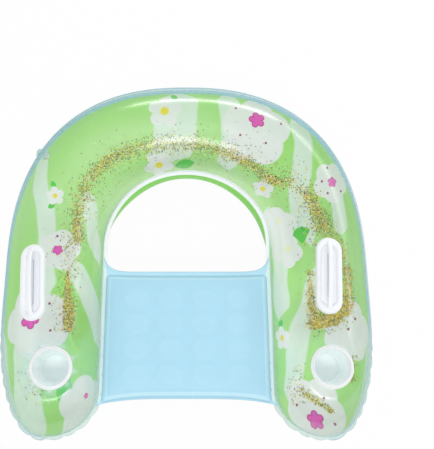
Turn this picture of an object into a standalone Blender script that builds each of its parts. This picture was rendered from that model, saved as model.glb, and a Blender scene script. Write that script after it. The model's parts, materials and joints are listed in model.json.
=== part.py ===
"""Inflatable pool chair: a U-shaped air tube with a clear top film and a printed bottom film, an
inflated seat welded between the arms, two grab handles, two cup holders and two inflation valves.

Metres, +Z up, +Y towards the back of the chair, +X to the right of someone who looks from the foot
end. The origin is on the ground, under the middle of the chair. Points are worked out about the arc's
centre at the height of the weld line, and `place` moves them to this frame.
"""

import math

import bmesh
import bpy
from mathutils import Matrix, Vector

# Outline of the tube, between weld lines, seen from above
SEAT_GAP = 0.490
TUBE_WIDTH = 0.280
BACK_REACH = 0.560
ARM_REACH = 0.480
INNER_ARC_OFFSET = 0.050
OUTER_CURVE_POWER = 2.4
TIP_LENGTH = 0.230
TIP_INNER_LENGTH = 0.118
TIP_POWER = 2.3
TAPER_LENGTH = 0.360
TAPER_POWER = 2.2

# Section of the tube
TUBE_HEIGHT = 0.274
FLOOR_STRIP = 0.040
BACK_SEAM_LIFT = 0.020

# Films and welds
FILM_THICKNESS = 0.0004
SEAM_THICKNESS = 0.0008
SEAM_WIDTH = 0.010
SEAM_BITE = 0.002
CLEARANCE = 0.0003

# Seat panel
SEAT_BACK_EDGE = -0.024
SEAT_FRONT_EDGE = -0.381
SEAT_BACK_FILLET = 0.048
SEAT_FRONT_HOLLOW = 0.017
SEAT_LAP = 0.0085
SEAT_BORDER = 0.015
SEAT_RISE = 0.026
SEAT_DROP = 0.024
BOSS_RISE = 0.0045
BOSS_LENGTH = 0.074
BOSS_DEPTH = 0.062
BOSS_PITCH_X = 0.097
BOSS_PITCH_Y = 0.070
BOSS_COUNT = 4

# Grab handles
HANDLE_LENGTH = 0.208
HANDLE_WIDTH = 0.071
HANDLE_RIM_WIDTH = 0.0165
HANDLE_RIM_HEIGHT = 0.0105
HANDLE_FLOOR = 0.0018
HANDLE_TOE = math.radians(3.5)
GRIP_WIDTH = 0.013
GRIP_THICKNESS = 0.008
GRIP_RISE = 0.0205

# Cup holders
CUP_MOUTH_RADIUS = 0.046
CUP_RIM_WIDTH = 0.0115
CUP_RIM_HEIGHT = 0.0085
CUP_LIP_WIDTH = 0.0095
CUP_FLOOR_RADIUS = 0.035
CUP_DEPTH = 0.080
CUP_SEAT_MARGIN = 0.009
CUP_BLEND_WIDTH = 0.044

# Inflation valves
VALVE_BASE_RADIUS = 0.014
VALVE_BASE_THICKNESS = 0.0012
VALVE_HUB_RADIUS = 0.0095
VALVE_HUB_HEIGHT = 0.0035
STEM_RADIUS = 0.0065
STEM_BORE = 0.0045
TUBE_STEM_REACH = 0.031
SEAT_STEM_REACH = 0.018
STEM_DEPTH = 0.006
STEM_LIP = 0.0018
COLLAR_RADIUS = 0.0105
COLLAR_THICKNESS = 0.0030
HINGE_ARM = 0.0160
PLUG_DEPTH = 0.004
PLUG_TAPER = 0.0008
CAP_RADIUS = 0.0102
CAP_THICKNESS = 0.0028
STRAP_WIDTH = 0.005
STRAP_THICKNESS = 0.0012
FLAP_THICKNESS = 0.0005
FLAP_OVERLAP = 0.0010
TUBE_VALVE_SHIFT = 0.012

# Glitter lying loose on the bottom film, inside the tube
GLITTER_THICKNESS = 0.0015
GLITTER_GAP = 0.0005

# Places of the fittings: how far out from the middle of the arm, and how far to the foot end from the
# arc's centre
LEFT_HANDLE_SHIFT = 0.028
LEFT_HANDLE_SETBACK = 0.077
RIGHT_HANDLE_SHIFT = -0.002
RIGHT_HANDLE_SETBACK = 0.059
LEFT_CUP_SHIFT = -0.035
LEFT_CUP_SETBACK = 0.300
RIGHT_CUP_SHIFT = -0.010
RIGHT_CUP_SETBACK = 0.298
CUP_LEAN_SHARE = 0.3

# Steps of the meshes
TIP_STEPS = 8
ARM_STEPS = 9
BACK_STEPS = 12
TOP_ROWS = 11
BOTTOM_ROWS = 11
SEAT_STEPS_X = 26
SEAT_STEPS_Y = 20
SEAT_UNDER_STEPS_X = 12
SEAT_UNDER_STEPS_Y = 9
ROUND_STEPS = 24
SMALL_ROUND_STEPS = 16
OVERRUN = 0.010

# Sizes that follow from those above
HALF_WIDTH = TUBE_WIDTH / 2
HALF_HEIGHT = TUBE_HEIGHT / 2
INNER_HALF = SEAT_GAP / 2
ARM_CENTRE = INNER_HALF + HALF_WIDTH
OUTER_HALF = INNER_HALF + TUBE_WIDTH
INNER_BACK = BACK_REACH - TUBE_WIDTH
ARC_CENTRE_Y = (ARM_REACH - BACK_REACH) / 2
FLOOR_ANGLE = math.asin(FLOOR_STRIP / 2 / HALF_WIDTH)
SEAM_Z = HALF_HEIGHT * math.cos(FLOOR_ANGLE)
FILM_EDGE = SEAM_THICKNESS / 2 + CLEARANCE
HALF_STATIONS = TIP_STEPS + ARM_STEPS + BACK_STEPS
STATIONS = 2 * HALF_STATIONS
SEAT_PLANE = SEAM_THICKNESS + CLEARANCE
HANDLE_PLACES = {
    "left": (-1, LEFT_HANDLE_SHIFT, -LEFT_HANDLE_SETBACK),
    "right": (1, RIGHT_HANDLE_SHIFT, -RIGHT_HANDLE_SETBACK),
}
CUP_PLACES = {
    "left": (-1, LEFT_CUP_SHIFT, -LEFT_CUP_SETBACK),
    "right": (1, RIGHT_CUP_SHIFT, -RIGHT_CUP_SETBACK),
}
TUBE_VALVE_CELL = (TIP_STEPS + ARM_STEPS + 4, 0)
SEAT_VALVE_CELL = (3, 6)


def clear_scene():
    for thing in list(bpy.data.objects):
        bpy.data.objects.remove(thing, do_unlink=True)


def make_material(name, colour, roughness, alpha=1.0):
    material = bpy.data.materials.new(name)
    material.use_nodes = True
    shader = material.node_tree.nodes["Principled BSDF"]
    shader.inputs["Base Color"].default_value = (*colour, 1.0)
    shader.inputs["Roughness"].default_value = roughness
    shader.inputs["Metallic"].default_value = 0.0
    shader.inputs["Alpha"].default_value = alpha
    return material


def add_object(name, mesh_data, material, matrix=None, parent=None):
    """Puts a bmesh into the scene under a name, shaded smooth with its hard edges kept."""
    mesh = bpy.data.meshes.new(name)
    mesh_data.to_mesh(mesh)
    mesh_data.free()
    mesh.shade_smooth()
    mesh.set_sharp_from_angle(angle=math.radians(40))
    mesh.materials.append(material)
    thing = bpy.data.objects.new(name, mesh)
    bpy.context.scene.collection.objects.link(thing)
    if parent:
        thing.parent = parent
    if matrix is not None:
        thing.matrix_local = matrix
    return thing


def add_empty(name, matrix, parent=None):
    empty = bpy.data.objects.new(name, None)
    bpy.context.scene.collection.objects.link(empty)
    if parent:
        empty.parent = parent
    empty.matrix_local = matrix
    return empty


def add_helper(name, mesh_data, matrix=None):
    """A cutter or a shape to be joined: it takes part in modifiers and isn't a piece itself."""
    mesh = bpy.data.meshes.new(name)
    mesh_data.to_mesh(mesh)
    mesh_data.free()
    helper = bpy.data.objects.new(name, mesh)
    bpy.context.scene.collection.objects.link(helper)
    helper.hide_render = True
    helper.display_type = "WIRE"
    if matrix is not None:
        helper.matrix_local = matrix
    return helper


def add_boolean(thing, helper, operation):
    modifier = thing.modifiers.new(helper.name, "BOOLEAN")
    modifier.operation = operation
    modifier.solver = "EXACT"
    modifier.object = helper


def add_thickness(thing, thickness, offset):
    modifier = thing.modifiers.new("thickness", "SOLIDIFY")
    modifier.thickness = thickness
    modifier.offset = offset
    modifier.use_even_offset = True


def place(x, y, z):
    """From the arc's centre at the height of the weld line to the chair's frame."""
    return Vector((x, y + ARC_CENTRE_Y, z + SEAM_Z))


def bump(value):
    """Goes smoothly from 0 to 1 while value goes from 0 to 1."""
    value = min(max(value, 0.0), 1.0)
    return value * value * (3 - 2 * value)


def quarter(half_x, half_y, power, angle):
    """A point on a superellipse's quarter: angle 0 is its side, a quarter turn its end."""
    return (
        half_x * max(math.cos(angle), 0.0) ** (2 / power),
        half_y * max(math.sin(angle), 0.0) ** (2 / power),
    )


def arm_outer_edge(y):
    """The outer weld line's distance from the middle of the arm: it draws in to the arm's end."""
    into = max(TAPER_LENGTH - ARM_REACH - y, 0.0) / TAPER_LENGTH
    return HALF_WIDTH * max(1 - into**TAPER_POWER, 0.0) ** (1 / TAPER_POWER)


def rib(station):
    """Where the tube is cut across at a station, 0 at the left tip and STATIONS at the right one.

    It gives the outer and inner weld points, the share of the full height there, and how far the
    inner weld line lies above the outer one.
    """
    side = -1
    if station > HALF_STATIONS:
        side, station = 1, STATIONS - station
    share, lift = 1.0, 0.0
    if station < TIP_STEPS:
        angle = math.pi / 2 * (1 - station / TIP_STEPS)
        high, out_y = quarter(HALF_HEIGHT, TIP_LENGTH, TIP_POWER, angle)
        in_x, in_y = quarter(HALF_WIDTH, TIP_INNER_LENGTH, 2, angle)
        out_y = TIP_LENGTH - ARM_REACH - out_y
        outer = (ARM_CENTRE + arm_outer_edge(out_y), out_y)
        inner = (ARM_CENTRE - in_x, TIP_INNER_LENGTH - ARM_REACH - in_y)
        share = high / HALF_HEIGHT
    elif station < TIP_STEPS + ARM_STEPS:
        along = (station - TIP_STEPS) / ARM_STEPS
        out_y = (TIP_LENGTH - ARM_REACH) * (1 - along)
        outer = (ARM_CENTRE + arm_outer_edge(out_y), out_y)
        start = TIP_INNER_LENGTH - ARM_REACH
        inner = (INNER_HALF, start + (INNER_ARC_OFFSET - start) * along)
    else:
        angle = math.pi / 2 * (station - TIP_STEPS - ARM_STEPS) / BACK_STEPS
        outer = quarter(OUTER_HALF, BACK_REACH, OUTER_CURVE_POWER, angle)
        in_x, in_y = quarter(INNER_HALF, INNER_BACK - INNER_ARC_OFFSET, 2, angle)
        inner = (in_x, INNER_ARC_OFFSET + in_y)
        lift = BACK_SEAM_LIFT * math.sin(angle) ** 2
    return (side * outer[0], outer[1]), (side * inner[0], inner[1]), share, lift


def tube_point(station, angle):
    """A point of the tube's section: angle 0 is the outer weld, 90 degrees the top."""
    outer, inner, share, _ = rib(station)
    across = math.cos(angle)
    x = (outer[0] + inner[0] + (outer[0] - inner[0]) * across) / 2
    y = (outer[1] + inner[1] + (outer[1] - inner[1]) * across) / 2
    return x, y, HALF_HEIGHT * share * math.sin(angle)


def top_angle(station, row):
    _, _, share, lift = rib(station)
    height = HALF_HEIGHT * share
    start = math.asin(FILM_EDGE / height)
    end = math.pi - math.asin((lift + FILM_EDGE) / height)
    return start + (end - start) * row / TOP_ROWS


def bottom_angle(station, row):
    """The middle row lies flat on the ground, between two angles that are the same all along."""
    _, _, share, lift = rib(station)
    height = HALF_HEIGHT * share
    half = (BOTTOM_ROWS - 1) // 2
    if row <= half:
        start, end = -math.asin(FILM_EDGE / height), -math.pi / 2 + FLOOR_ANGLE
        return start + (end - start) * row / half
    start = -math.pi / 2 - FLOOR_ANGLE
    end = -math.pi - math.asin((lift - FILM_EDGE) / height)
    return start + (end - start) * (row - half - 1) / half


def cup_frame(side_name):
    """The cup's mouth: its middle on the film about the arc's centre, and its lean about +Y."""
    side, across, along = CUP_PLACES[side_name]
    fall = across / HALF_WIDTH
    height = HALF_HEIGHT * math.sqrt(1 - fall * fall)
    slope = HALF_HEIGHT / HALF_WIDTH * fall / math.sqrt(1 - fall * fall)
    lean = side * math.atan(slope) * CUP_LEAN_SHARE
    return side * (ARM_CENTRE + across), along, height, lean


def settle_on_cups(x, y, z):
    """The film is drawn flat under each cup's rim, and runs back into the tube's round around it."""
    for side_name in CUP_PLACES:
        cup_x, cup_y, height, lean = cup_frame(side_name)
        away = math.hypot(x - cup_x, y - cup_y)
        flat = CUP_MOUTH_RADIUS + CUP_RIM_WIDTH + CUP_SEAT_MARGIN
        level = height - math.tan(lean) * (x - cup_x)
        z += (level - z) * (1 - bump((away - flat) / CUP_BLEND_WIDTH))
    return z


def grid_mesh(rows_of_points):
    """An open sheet from rows of points."""
    sheet = bmesh.new()
    rows = [[sheet.verts.new(point) for point in row] for row in rows_of_points]
    for first, second in zip(rows, rows[1:]):
        for k in range(len(first) - 1):
            sheet.faces.new((first[k], first[k + 1], second[k + 1], second[k]))
    return sheet


def loft_mesh(rings, close_ends=True):
    """A closed skin over rings of equally many points, with its two ends filled."""
    skin = bmesh.new()
    loops = [[skin.verts.new(point) for point in ring] for ring in rings]
    count = len(rings[0])
    for first, second in zip(loops, loops[1:]):
        for k in range(count):
            after = (k + 1) % count
            skin.faces.new((first[k], first[after], second[after], second[k]))
    if close_ends:
        skin.faces.new(loops[0])
        skin.faces.new(loops[-1])
    bmesh.ops.recalc_face_normals(skin, faces=skin.faces)
    return skin


def spin_mesh(profile, steps, closed):
    """A profile of radius and height turned once round Z. An open one starts and ends on the axis."""
    turned = bmesh.new()
    verts = [turned.verts.new((radius, 0, height)) for radius, height in profile]
    pairs = list(zip(verts, verts[1:]))
    if closed:
        pairs.append((verts[-1], verts[0]))
    edges = [turned.edges.new(pair) for pair in pairs]
    bmesh.ops.spin(turned, geom=verts + edges, axis=(0, 0, 1), cent=(0, 0, 0), dvec=(0, 0, 0),
                   angle=2 * math.pi, steps=steps, use_merge=True, use_duplicate=False)
    bmesh.ops.remove_doubles(turned, verts=turned.verts, dist=CLEARANCE / 100)
    bmesh.ops.recalc_face_normals(turned, faces=turned.faces)
    return turned


def rod_mesh(radius, low, high, steps):
    return spin_mesh([(0, low), (radius, low), (radius, high), (0, high)], steps, closed=False)


def close_tips(sheet, edge_z):
    """Draws the sheet's first and last row together in the weld's point at each arm's tip."""
    sheet.verts.ensure_lookup_table()
    width = len(sheet.verts) // (STATIONS - 1)
    for side, first in ((-1, 0), (1, len(sheet.verts) - width)):
        tip = sheet.verts.new(place(side * ARM_CENTRE, -ARM_REACH, edge_z))
        sheet.verts.ensure_lookup_table()
        row = [sheet.verts[first + k] for k in range(width)]
        for near, far in zip(row, row[1:]):
            sheet.faces.new((near, far, tip))
    bmesh.ops.recalc_face_normals(sheet, faces=sheet.faces)


def film_sheet(angle_of, rows, settle, edge_z):
    grid = []
    for station in range(1, STATIONS):
        line = []
        for row in range(rows + 1):
            x, y, z = tube_point(station, angle_of(station, row))
            if settle:
                z = settle_on_cups(x, y, z)
            line.append(place(x, y, z))
        grid.append(line)
    sheet = grid_mesh(grid)
    close_tips(sheet, edge_z)
    return sheet


def face_outwards(sheet, point_inside):
    """Turns an open sheet so that its faces look away from a point on its hollow side."""
    sheet.faces.ensure_lookup_table()
    face = max(sheet.faces, key=lambda one: abs(one.normal.z) * one.calc_area())
    if (face.calc_center_median() - point_inside).dot(face.normal) < 0:
        bmesh.ops.reverse_faces(sheet, faces=sheet.faces)


def make_tube_films(materials):
    middle = place(0, 0, 0)
    top = film_sheet(top_angle, TOP_ROWS, True, FILM_EDGE)
    face_outwards(top, middle)
    top_film = add_object("tube_top_film", top, materials["clear_film"])
    add_thickness(top_film, FILM_THICKNESS, -1)
    bottom = film_sheet(bottom_angle, BOTTOM_ROWS, False, -FILM_EDGE)
    face_outwards(bottom, middle)
    bottom_film = add_object("tube_bottom_film", bottom, materials["printed_film"])
    add_thickness(bottom_film, FILM_THICKNESS, -1)
    return top_film, bottom_film


def weld_line():
    """The closed line round the tube: points, their height, and the way out from the tube."""
    outer, inner = [], []
    for station in range(STATIONS + 1):
        out_point, in_point, _, lift = rib(station)
        outer.append((out_point[0], out_point[1], 0.0))
        inner.append((in_point[0], in_point[1], lift))
    points = outer + inner[-2:0:-1]
    line = []
    for k, point in enumerate(points):
        before, after = points[k - 1], points[(k + 1) % len(points)]
        run = Vector((after[0] - before[0], after[1] - before[1])).normalized()
        line.append((point, (-run.y, run.x)))
    return line


def make_tube_seam(materials):
    strip = bmesh.new()
    loops = []
    for offset in (-SEAM_BITE, SEAM_WIDTH):
        loop = []
        for (x, y, z), (out_x, out_y) in weld_line():
            loop.append(strip.verts.new(place(x + out_x * offset, y + out_y * offset, z)))
        loops.append(loop)
    count = len(loops[0])
    for k in range(count):
        after = (k + 1) % count
        strip.faces.new((loops[0][k], loops[0][after], loops[1][after], loops[1][k]))
    bmesh.ops.recalc_face_normals(strip, faces=strip.faces)
    seam = add_object("tube_weld_seam", strip, materials["seam"])
    add_thickness(seam, SEAM_THICKNESS, 0)


def arm_inner_edge(y):
    """The inner weld line's distance from the middle at a place along the arm."""
    start = TIP_INNER_LENGTH - ARM_REACH
    if y >= start:
        return INNER_HALF
    into = (start - y) / TIP_INNER_LENGTH
    return ARM_CENTRE - HALF_WIDTH * math.sqrt(1 - into * into)


def seat_border_point(u, v):
    """A point of the panel's outline area: u and v run from -1 to 1, v to the back."""
    back = SEAT_BACK_EDGE + SEAT_BACK_FILLET * abs(u) ** 8.6
    front = SEAT_FRONT_EDGE - SEAT_FRONT_HOLLOW * abs(u) ** 4
    y = front + (back - front) * (v + 1) / 2
    half = arm_inner_edge(y) - SEAM_WIDTH + SEAT_LAP
    return u * half, y


def seat_pad_point(u, v):
    """The same for the air pad inside the border."""
    back = SEAT_BACK_EDGE - SEAT_BORDER + SEAT_BORDER / 3 * abs(u) ** 4
    front = SEAT_FRONT_EDGE + SEAT_BORDER / 2 - SEAT_FRONT_HOLLOW * abs(u) ** 4
    y = front + (back - front) * (v + 1) / 2
    half = arm_inner_edge(y) - SEAM_WIDTH + SEAT_LAP - SEAT_BORDER
    return u * half, y


def seat_bosses(x, y):
    """The round pads that stand up from the seat in rows."""
    middle_y = (SEAT_BACK_EDGE + SEAT_FRONT_EDGE) / 2 - BOSS_PITCH_Y / 8
    rise = 0.0
    for row in range(BOSS_COUNT):
        for column in range(BOSS_COUNT):
            away_x = x - (column - (BOSS_COUNT - 1) / 2) * BOSS_PITCH_X
            away_y = y - middle_y - (row - (BOSS_COUNT - 1) / 2) * BOSS_PITCH_Y
            away = math.hypot(away_x / BOSS_LENGTH, away_y / BOSS_DEPTH) * 2
            rise += BOSS_RISE * (1 - bump(away))
    return rise


def seat_height(u, v, reach):
    """The pad's swell: full over the middle and drawn in to the weld at its edges."""
    return reach * ((1 - abs(u) ** 4) * (1 - abs(v) ** 4)) ** 0.55


def seat_film_grid(steps_x, steps_y, side):
    grid = []
    for row in range(steps_y + 1):
        v = math.sin(math.pi / 2 * (2 * row / steps_y - 1))
        line = []
        for column in range(steps_x + 1):
            u = math.sin(math.pi / 2 * (2 * column / steps_x - 1))
            x, y = seat_pad_point(u, v)
            if side > 0:
                z = FILM_EDGE + seat_height(u, v, SEAT_RISE + seat_bosses(x, y))
            else:
                z = -FILM_EDGE - seat_height(u, v, SEAT_DROP)
            line.append(place(x, y, z + SEAT_PLANE))
        grid.append(line)
    return grid


def make_seat(materials):
    middle = place(0, (SEAT_BACK_EDGE + SEAT_FRONT_EDGE) / 2, SEAT_PLANE)
    films = []
    for name, steps_x, steps_y, side in (
        ("seat_top_film", SEAT_STEPS_X, SEAT_STEPS_Y, 1),
        ("seat_bottom_film", SEAT_UNDER_STEPS_X, SEAT_UNDER_STEPS_Y, -1),
    ):
        sheet = grid_mesh(seat_film_grid(steps_x, steps_y, side))
        bmesh.ops.recalc_face_normals(sheet, faces=sheet.faces)
        face_outwards(sheet, middle)
        film = add_object(name, sheet, materials["seat_film"])
        add_thickness(film, FILM_THICKNESS, 1)
        films.append(film)
    border = bmesh.new()
    inside, outside = [], []
    for u, v in square_round(SEAT_STEPS_X, SEAT_STEPS_Y):
        x, y = seat_pad_point(u * (1 - SEAM_BITE / INNER_HALF), v * (1 - SEAM_BITE / INNER_HALF))
        inside.append(border.verts.new(place(x, y, SEAT_PLANE)))
        x, y = seat_border_point(u, v)
        outside.append(border.verts.new(place(x, y, SEAT_PLANE)))
    for k in range(len(inside)):
        after = (k + 1) % len(inside)
        border.faces.new((inside[k], inside[after], outside[after], outside[k]))
    bmesh.ops.recalc_face_normals(border, faces=border.faces)
    frame = add_object("seat_weld_border", border, materials["seat_film"])
    add_thickness(frame, SEAM_THICKNESS, 0)
    return films


def square_round(steps_x, steps_y):
    """Points once round the square from -1 to 1, closer together towards its corners."""
    along_x = [math.sin(math.pi / 2 * (2 * k / steps_x - 1)) for k in range(steps_x)]
    along_y = [math.sin(math.pi / 2 * (2 * k / steps_y - 1)) for k in range(steps_y)]
    return (
        [(u, -1) for u in along_x]
        + [(1, v) for v in along_y]
        + [(-u, 1) for u in along_x]
        + [(-1, -v) for v in along_y]
    )


def on_arm(side_name, across, along, up):
    """A point of a handle laid on the arm's round top: its own across, along and up."""
    side, shift, middle = HANDLE_PLACES[side_name]
    turned_across = across * math.cos(HANDLE_TOE) + along * math.sin(HANDLE_TOE)
    turned_along = along * math.cos(HANDLE_TOE) - across * math.sin(HANDLE_TOE)
    tilt = math.asin(shift / HALF_WIDTH) + turned_across / HALF_WIDTH
    lean = Vector((math.sin(tilt) / HALF_WIDTH, math.cos(tilt) / HALF_HEIGHT)).normalized()
    out = HALF_WIDTH * math.sin(tilt) + lean.x * (up + CLEARANCE)
    height = HALF_HEIGHT * math.cos(tilt) + lean.y * (up + CLEARANCE)
    return place(side * (ARM_CENTRE + out), middle + turned_along, height)


def stadium(half_width, half_length, steps):
    """A slot's outline: straight sides and half-round ends."""
    points = []
    for k in range(steps):
        angle = 2 * math.pi * k / steps
        end = (half_length - half_width) * (math.sin(angle) > 0.01)
        end -= (half_length - half_width) * (math.sin(angle) < -0.01)
        points.append((half_width * math.cos(angle), end + half_width * math.sin(angle)))
    return points


def make_handle(side_name, materials):
    """One moulding: an oval rim, a shallow well inside it and a grip that arches over the well."""
    rim, high = HANDLE_RIM_WIDTH, HANDLE_RIM_HEIGHT
    half_width, half_length = HANDLE_WIDTH / 2, HANDLE_LENGTH / 2
    levels = [
        (half_width * 0.80, 0), (half_width * 0.40, 0), (0, 0), (0, high * 0.30),
        (rim * 0.18, high * 0.80), (rim * 0.55, high), (rim * 0.85, high * 0.80),
        (rim, HANDLE_FLOOR), (half_width * 0.75, HANDLE_FLOOR),
    ]
    rings = []
    for inset, up in levels:
        outline = stadium(half_width - inset, half_length - inset, ROUND_STEPS)
        rings.append([on_arm(side_name, across, along, up) for across, along in outline])
    handle = add_object(side_name + "_handle", loft_mesh(rings), materials["handle"])
    reach = half_length - rim * 0.65
    stations = 12
    rings = []
    for k in range(stations + 1):
        along = reach * math.sin(math.pi / 2 * (2 * k / stations - 1))
        middle = high * 0.6 + GRIP_RISE * (1 - (along / reach) ** 4)
        ring = []
        for corner in range(8):
            angle = math.pi / 4 * (corner + 0.5)
            across = GRIP_WIDTH / 2 * math.cos(angle) / math.cos(math.pi / 8)
            up = GRIP_THICKNESS / 2 * math.sin(angle) / math.cos(math.pi / 8)
            ring.append(on_arm(side_name, across, along, middle + up))
        rings.append(ring)
    grip = add_helper(side_name + "_grip_shape", loft_mesh(rings))
    add_boolean(handle, grip, "UNION")


def make_cup(side_name, top_film, materials):
    x, y, height, lean = cup_frame(side_name)
    stand = Matrix.Translation(place(x, y, height)) @ Matrix.Rotation(lean, 4, "Y")
    mouth, film = CUP_MOUTH_RADIUS, FILM_THICKNESS
    lip_top = CLEARANCE + film
    liner = [
        (mouth, lip_top), (mouth + CUP_LIP_WIDTH, lip_top), (mouth + CUP_LIP_WIDTH, CLEARANCE),
        (mouth + film, CLEARANCE), (CUP_FLOOR_RADIUS + film, -CUP_DEPTH),
        (CUP_FLOOR_RADIUS, -CUP_DEPTH),
    ]
    add_object(side_name + "_cup_liner", spin_mesh(liner, ROUND_STEPS, True),
               materials["liner"], stand)
    low = lip_top + CLEARANCE
    rim_share = (
        (0.00, 0.00), (0.00, 0.55), (0.16, 0.88), (0.42, 1.00), (0.70, 0.90), (0.92, 0.50),
        (1.00, 0.00),
    )
    rim = [(mouth + CUP_RIM_WIDTH * out, low + CUP_RIM_HEIGHT * up) for out, up in rim_share]
    add_object(side_name + "_cup_rim", spin_mesh(rim, ROUND_STEPS, True), materials["rim"], stand)
    under = -CUP_DEPTH - CLEARANCE
    floor = rod_mesh(CUP_FLOOR_RADIUS + SEAM_BITE, under - film, under, ROUND_STEPS)
    add_object(side_name + "_cup_floor", floor, materials["liner"], stand)
    hole = rod_mesh(mouth + film + CLEARANCE * 2, -OVERRUN, OVERRUN, ROUND_STEPS)
    add_boolean(top_film, add_helper(side_name + "_cup_hole", hole, stand), "DIFFERENCE")


def frame_on_face(corners, along, outward):
    """A frame in the middle of a facet: +Z out of it and +X along a given way."""
    middle = sum(corners, Vector()) / len(corners)
    normal = (corners[2] - corners[0]).cross(corners[3] - corners[1]).normalized()
    if normal.dot(outward) < 0:
        normal.negate()
    across = (along - normal * along.dot(normal)).normalized()
    turned = Matrix((across, normal.cross(across), normal)).transposed().to_4x4()
    return Matrix.Translation(middle) @ turned


def tube_valve_frame():
    """The valve sits just below the outer weld at the back of the left side."""
    station, row = TUBE_VALVE_CELL
    corners = []
    for k, j in ((0, 0), (0, 1), (1, 1), (1, 0)):
        point = tube_point(station + k, bottom_angle(station + k, row + j))
        corners.append(place(*point))
    to_back = Matrix.Translation((-TUBE_VALVE_SHIFT, 0, 0))
    return frame_on_face(corners, corners[0] - corners[3], corners[0] - place(0, 0, 0)) @ to_back


def seat_valve_frame():
    column, row = SEAT_VALVE_CELL
    grid = seat_film_grid(SEAT_UNDER_STEPS_X, SEAT_UNDER_STEPS_Y, -1)
    corners = [grid[row + j][column + k] for j, k in ((0, 0), (0, 1), (1, 1), (1, 0))]
    outside = Matrix.Translation((0, 0, FILM_THICKNESS))
    return frame_on_face(corners, Vector((1, 0, 0)), Vector((0, 0, -1))) @ outside


def tongue_mesh(start, end, width, low, high):
    """A flat bar along +X."""
    half = width / 2
    corners = [(start, -half), (end, -half), (end, half), (start, half)]
    return loft_mesh([[(x, y, z) for x, y in corners] for z in (low, high)])


def make_valve(name, reach, stand, film, materials):
    """Base ring on the film, push-in stem, plug on a strap, and the flap inside that holds the air."""
    bore = STEM_RADIUS + CLEARANCE
    low = CLEARANCE
    deck = low + VALVE_BASE_THICKNESS
    base = [
        (bore, low), (VALVE_BASE_RADIUS, low), (VALVE_BASE_RADIUS, low + VALVE_BASE_THICKNESS / 2),
        (VALVE_BASE_RADIUS - VALVE_BASE_THICKNESS / 2, deck), (VALVE_HUB_RADIUS, deck),
        (VALVE_HUB_RADIUS, VALVE_HUB_HEIGHT), (bore, VALVE_HUB_HEIGHT),
    ]
    add_object(name + "_base", spin_mesh(base, ROUND_STEPS, True), materials["valve"], stand)
    hole = rod_mesh(bore + CLEARANCE, -OVERRUN / 2, OVERRUN / 2, SMALL_ROUND_STEPS)
    add_boolean(film, add_helper(name + "_hole", hole, stand), "DIFFERENCE")

    slide = add_empty(name + "_slide", stand)
    collar = reach - COLLAR_THICKNESS
    lip = bore + STEM_LIP
    stem = [
        (STEM_BORE, -STEM_DEPTH), (lip, -STEM_DEPTH), (lip, -STEM_DEPTH + STEM_LIP),
        (STEM_RADIUS, -STEM_DEPTH + STEM_LIP), (STEM_RADIUS, collar), (COLLAR_RADIUS, collar),
        (COLLAR_RADIUS, reach), (STEM_BORE, reach),
    ]
    stem_piece = add_object(name + "_stem", spin_mesh(stem, SMALL_ROUND_STEPS, True),
                            materials["valve"], parent=slide)
    ear = tongue_mesh(STEM_RADIUS, HINGE_ARM, STRAP_WIDTH, collar + STRAP_THICKNESS / 2, reach)
    add_boolean(stem_piece, add_helper(name + "_ear", ear, stand), "UNION")

    seat = reach + CLEARANCE
    pivot = Vector((HINGE_ARM, 0, reach + CLEARANCE / 2))
    plug_hinge = add_empty(name + "_plug_hinge", Matrix.Translation(pivot), slide)
    plug_radius = STEM_BORE - CLEARANCE
    plug = [
        (0, seat - PLUG_DEPTH), (plug_radius - PLUG_TAPER * 1.5, seat - PLUG_DEPTH),
        (plug_radius - PLUG_TAPER * 0.5, seat), (CAP_RADIUS, seat),
        (CAP_RADIUS, seat + CAP_THICKNESS * 0.6), (CAP_RADIUS * 0.88, seat + CAP_THICKNESS),
        (0, seat + CAP_THICKNESS),
    ]
    back = Matrix.Translation(-pivot)
    plug_piece = add_object(name + "_plug", spin_mesh(plug, SMALL_ROUND_STEPS, False),
                            materials["valve"], back, plug_hinge)
    strap = tongue_mesh(CAP_RADIUS * 0.8, HINGE_ARM - CLEARANCE, STRAP_WIDTH, seat,
                        seat + STRAP_THICKNESS)
    add_boolean(plug_piece, add_helper(name + "_strap", strap, stand), "UNION")

    flap_radius = STEM_BORE + FLAP_OVERLAP
    face = -STEM_DEPTH - CLEARANCE
    pivot = Vector((0, flap_radius, -STEM_DEPTH - CLEARANCE / 2))
    flap_hinge = add_empty(name + "_flap_hinge", Matrix.Translation(pivot), slide)
    flap = rod_mesh(flap_radius, face - FLAP_THICKNESS, face, SMALL_ROUND_STEPS)
    add_object(name + "_flap", flap, materials["liner"], Matrix.Translation(-pivot), flap_hinge)


def drift_point(station, angle, inset):
    """A point just inside the bottom film's facets."""
    row = 0
    while row < BOTTOM_ROWS - 1 and bottom_angle(station, row + 1) > angle:
        row += 1
    high, low = bottom_angle(station, row), bottom_angle(station, row + 1)
    near = Vector(tube_point(station, high))
    far = Vector(tube_point(station, low))
    point = near.lerp(far, (angle - high) / (low - high))
    outer, inner, _, _ = rib(station)
    middle = Vector(((outer[0] + inner[0]) / 2, (outer[1] + inner[1]) / 2, 0))
    point += (middle - point).normalized() * inset
    return place(*point)


def make_drift(name, first, last, middle, half, materials):
    """A thin bank of glitter between two stations; middle and half are angles round the section."""
    columns = 4
    inset = FILM_THICKNESS + GLITTER_GAP
    grid = []
    for station in range(first, last + 1):
        along = (station - first) / (last - first) * 2 - 1
        spread = half * math.sqrt(1 - 0.85 * along * along)
        line = []
        for column in range(columns + 1):
            angle = middle + spread * (2 * column / columns - 1)
            line.append(drift_point(station, angle, inset))
        grid.append(line)
    sheet = grid_mesh(grid)
    bmesh.ops.recalc_face_normals(sheet, faces=sheet.faces)
    face_outwards(sheet, place(0, 0, SEAM_Z))
    drift = add_object(name, sheet, materials["glitter"])
    add_thickness(drift, GLITTER_THICKNESS, -1)


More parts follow.
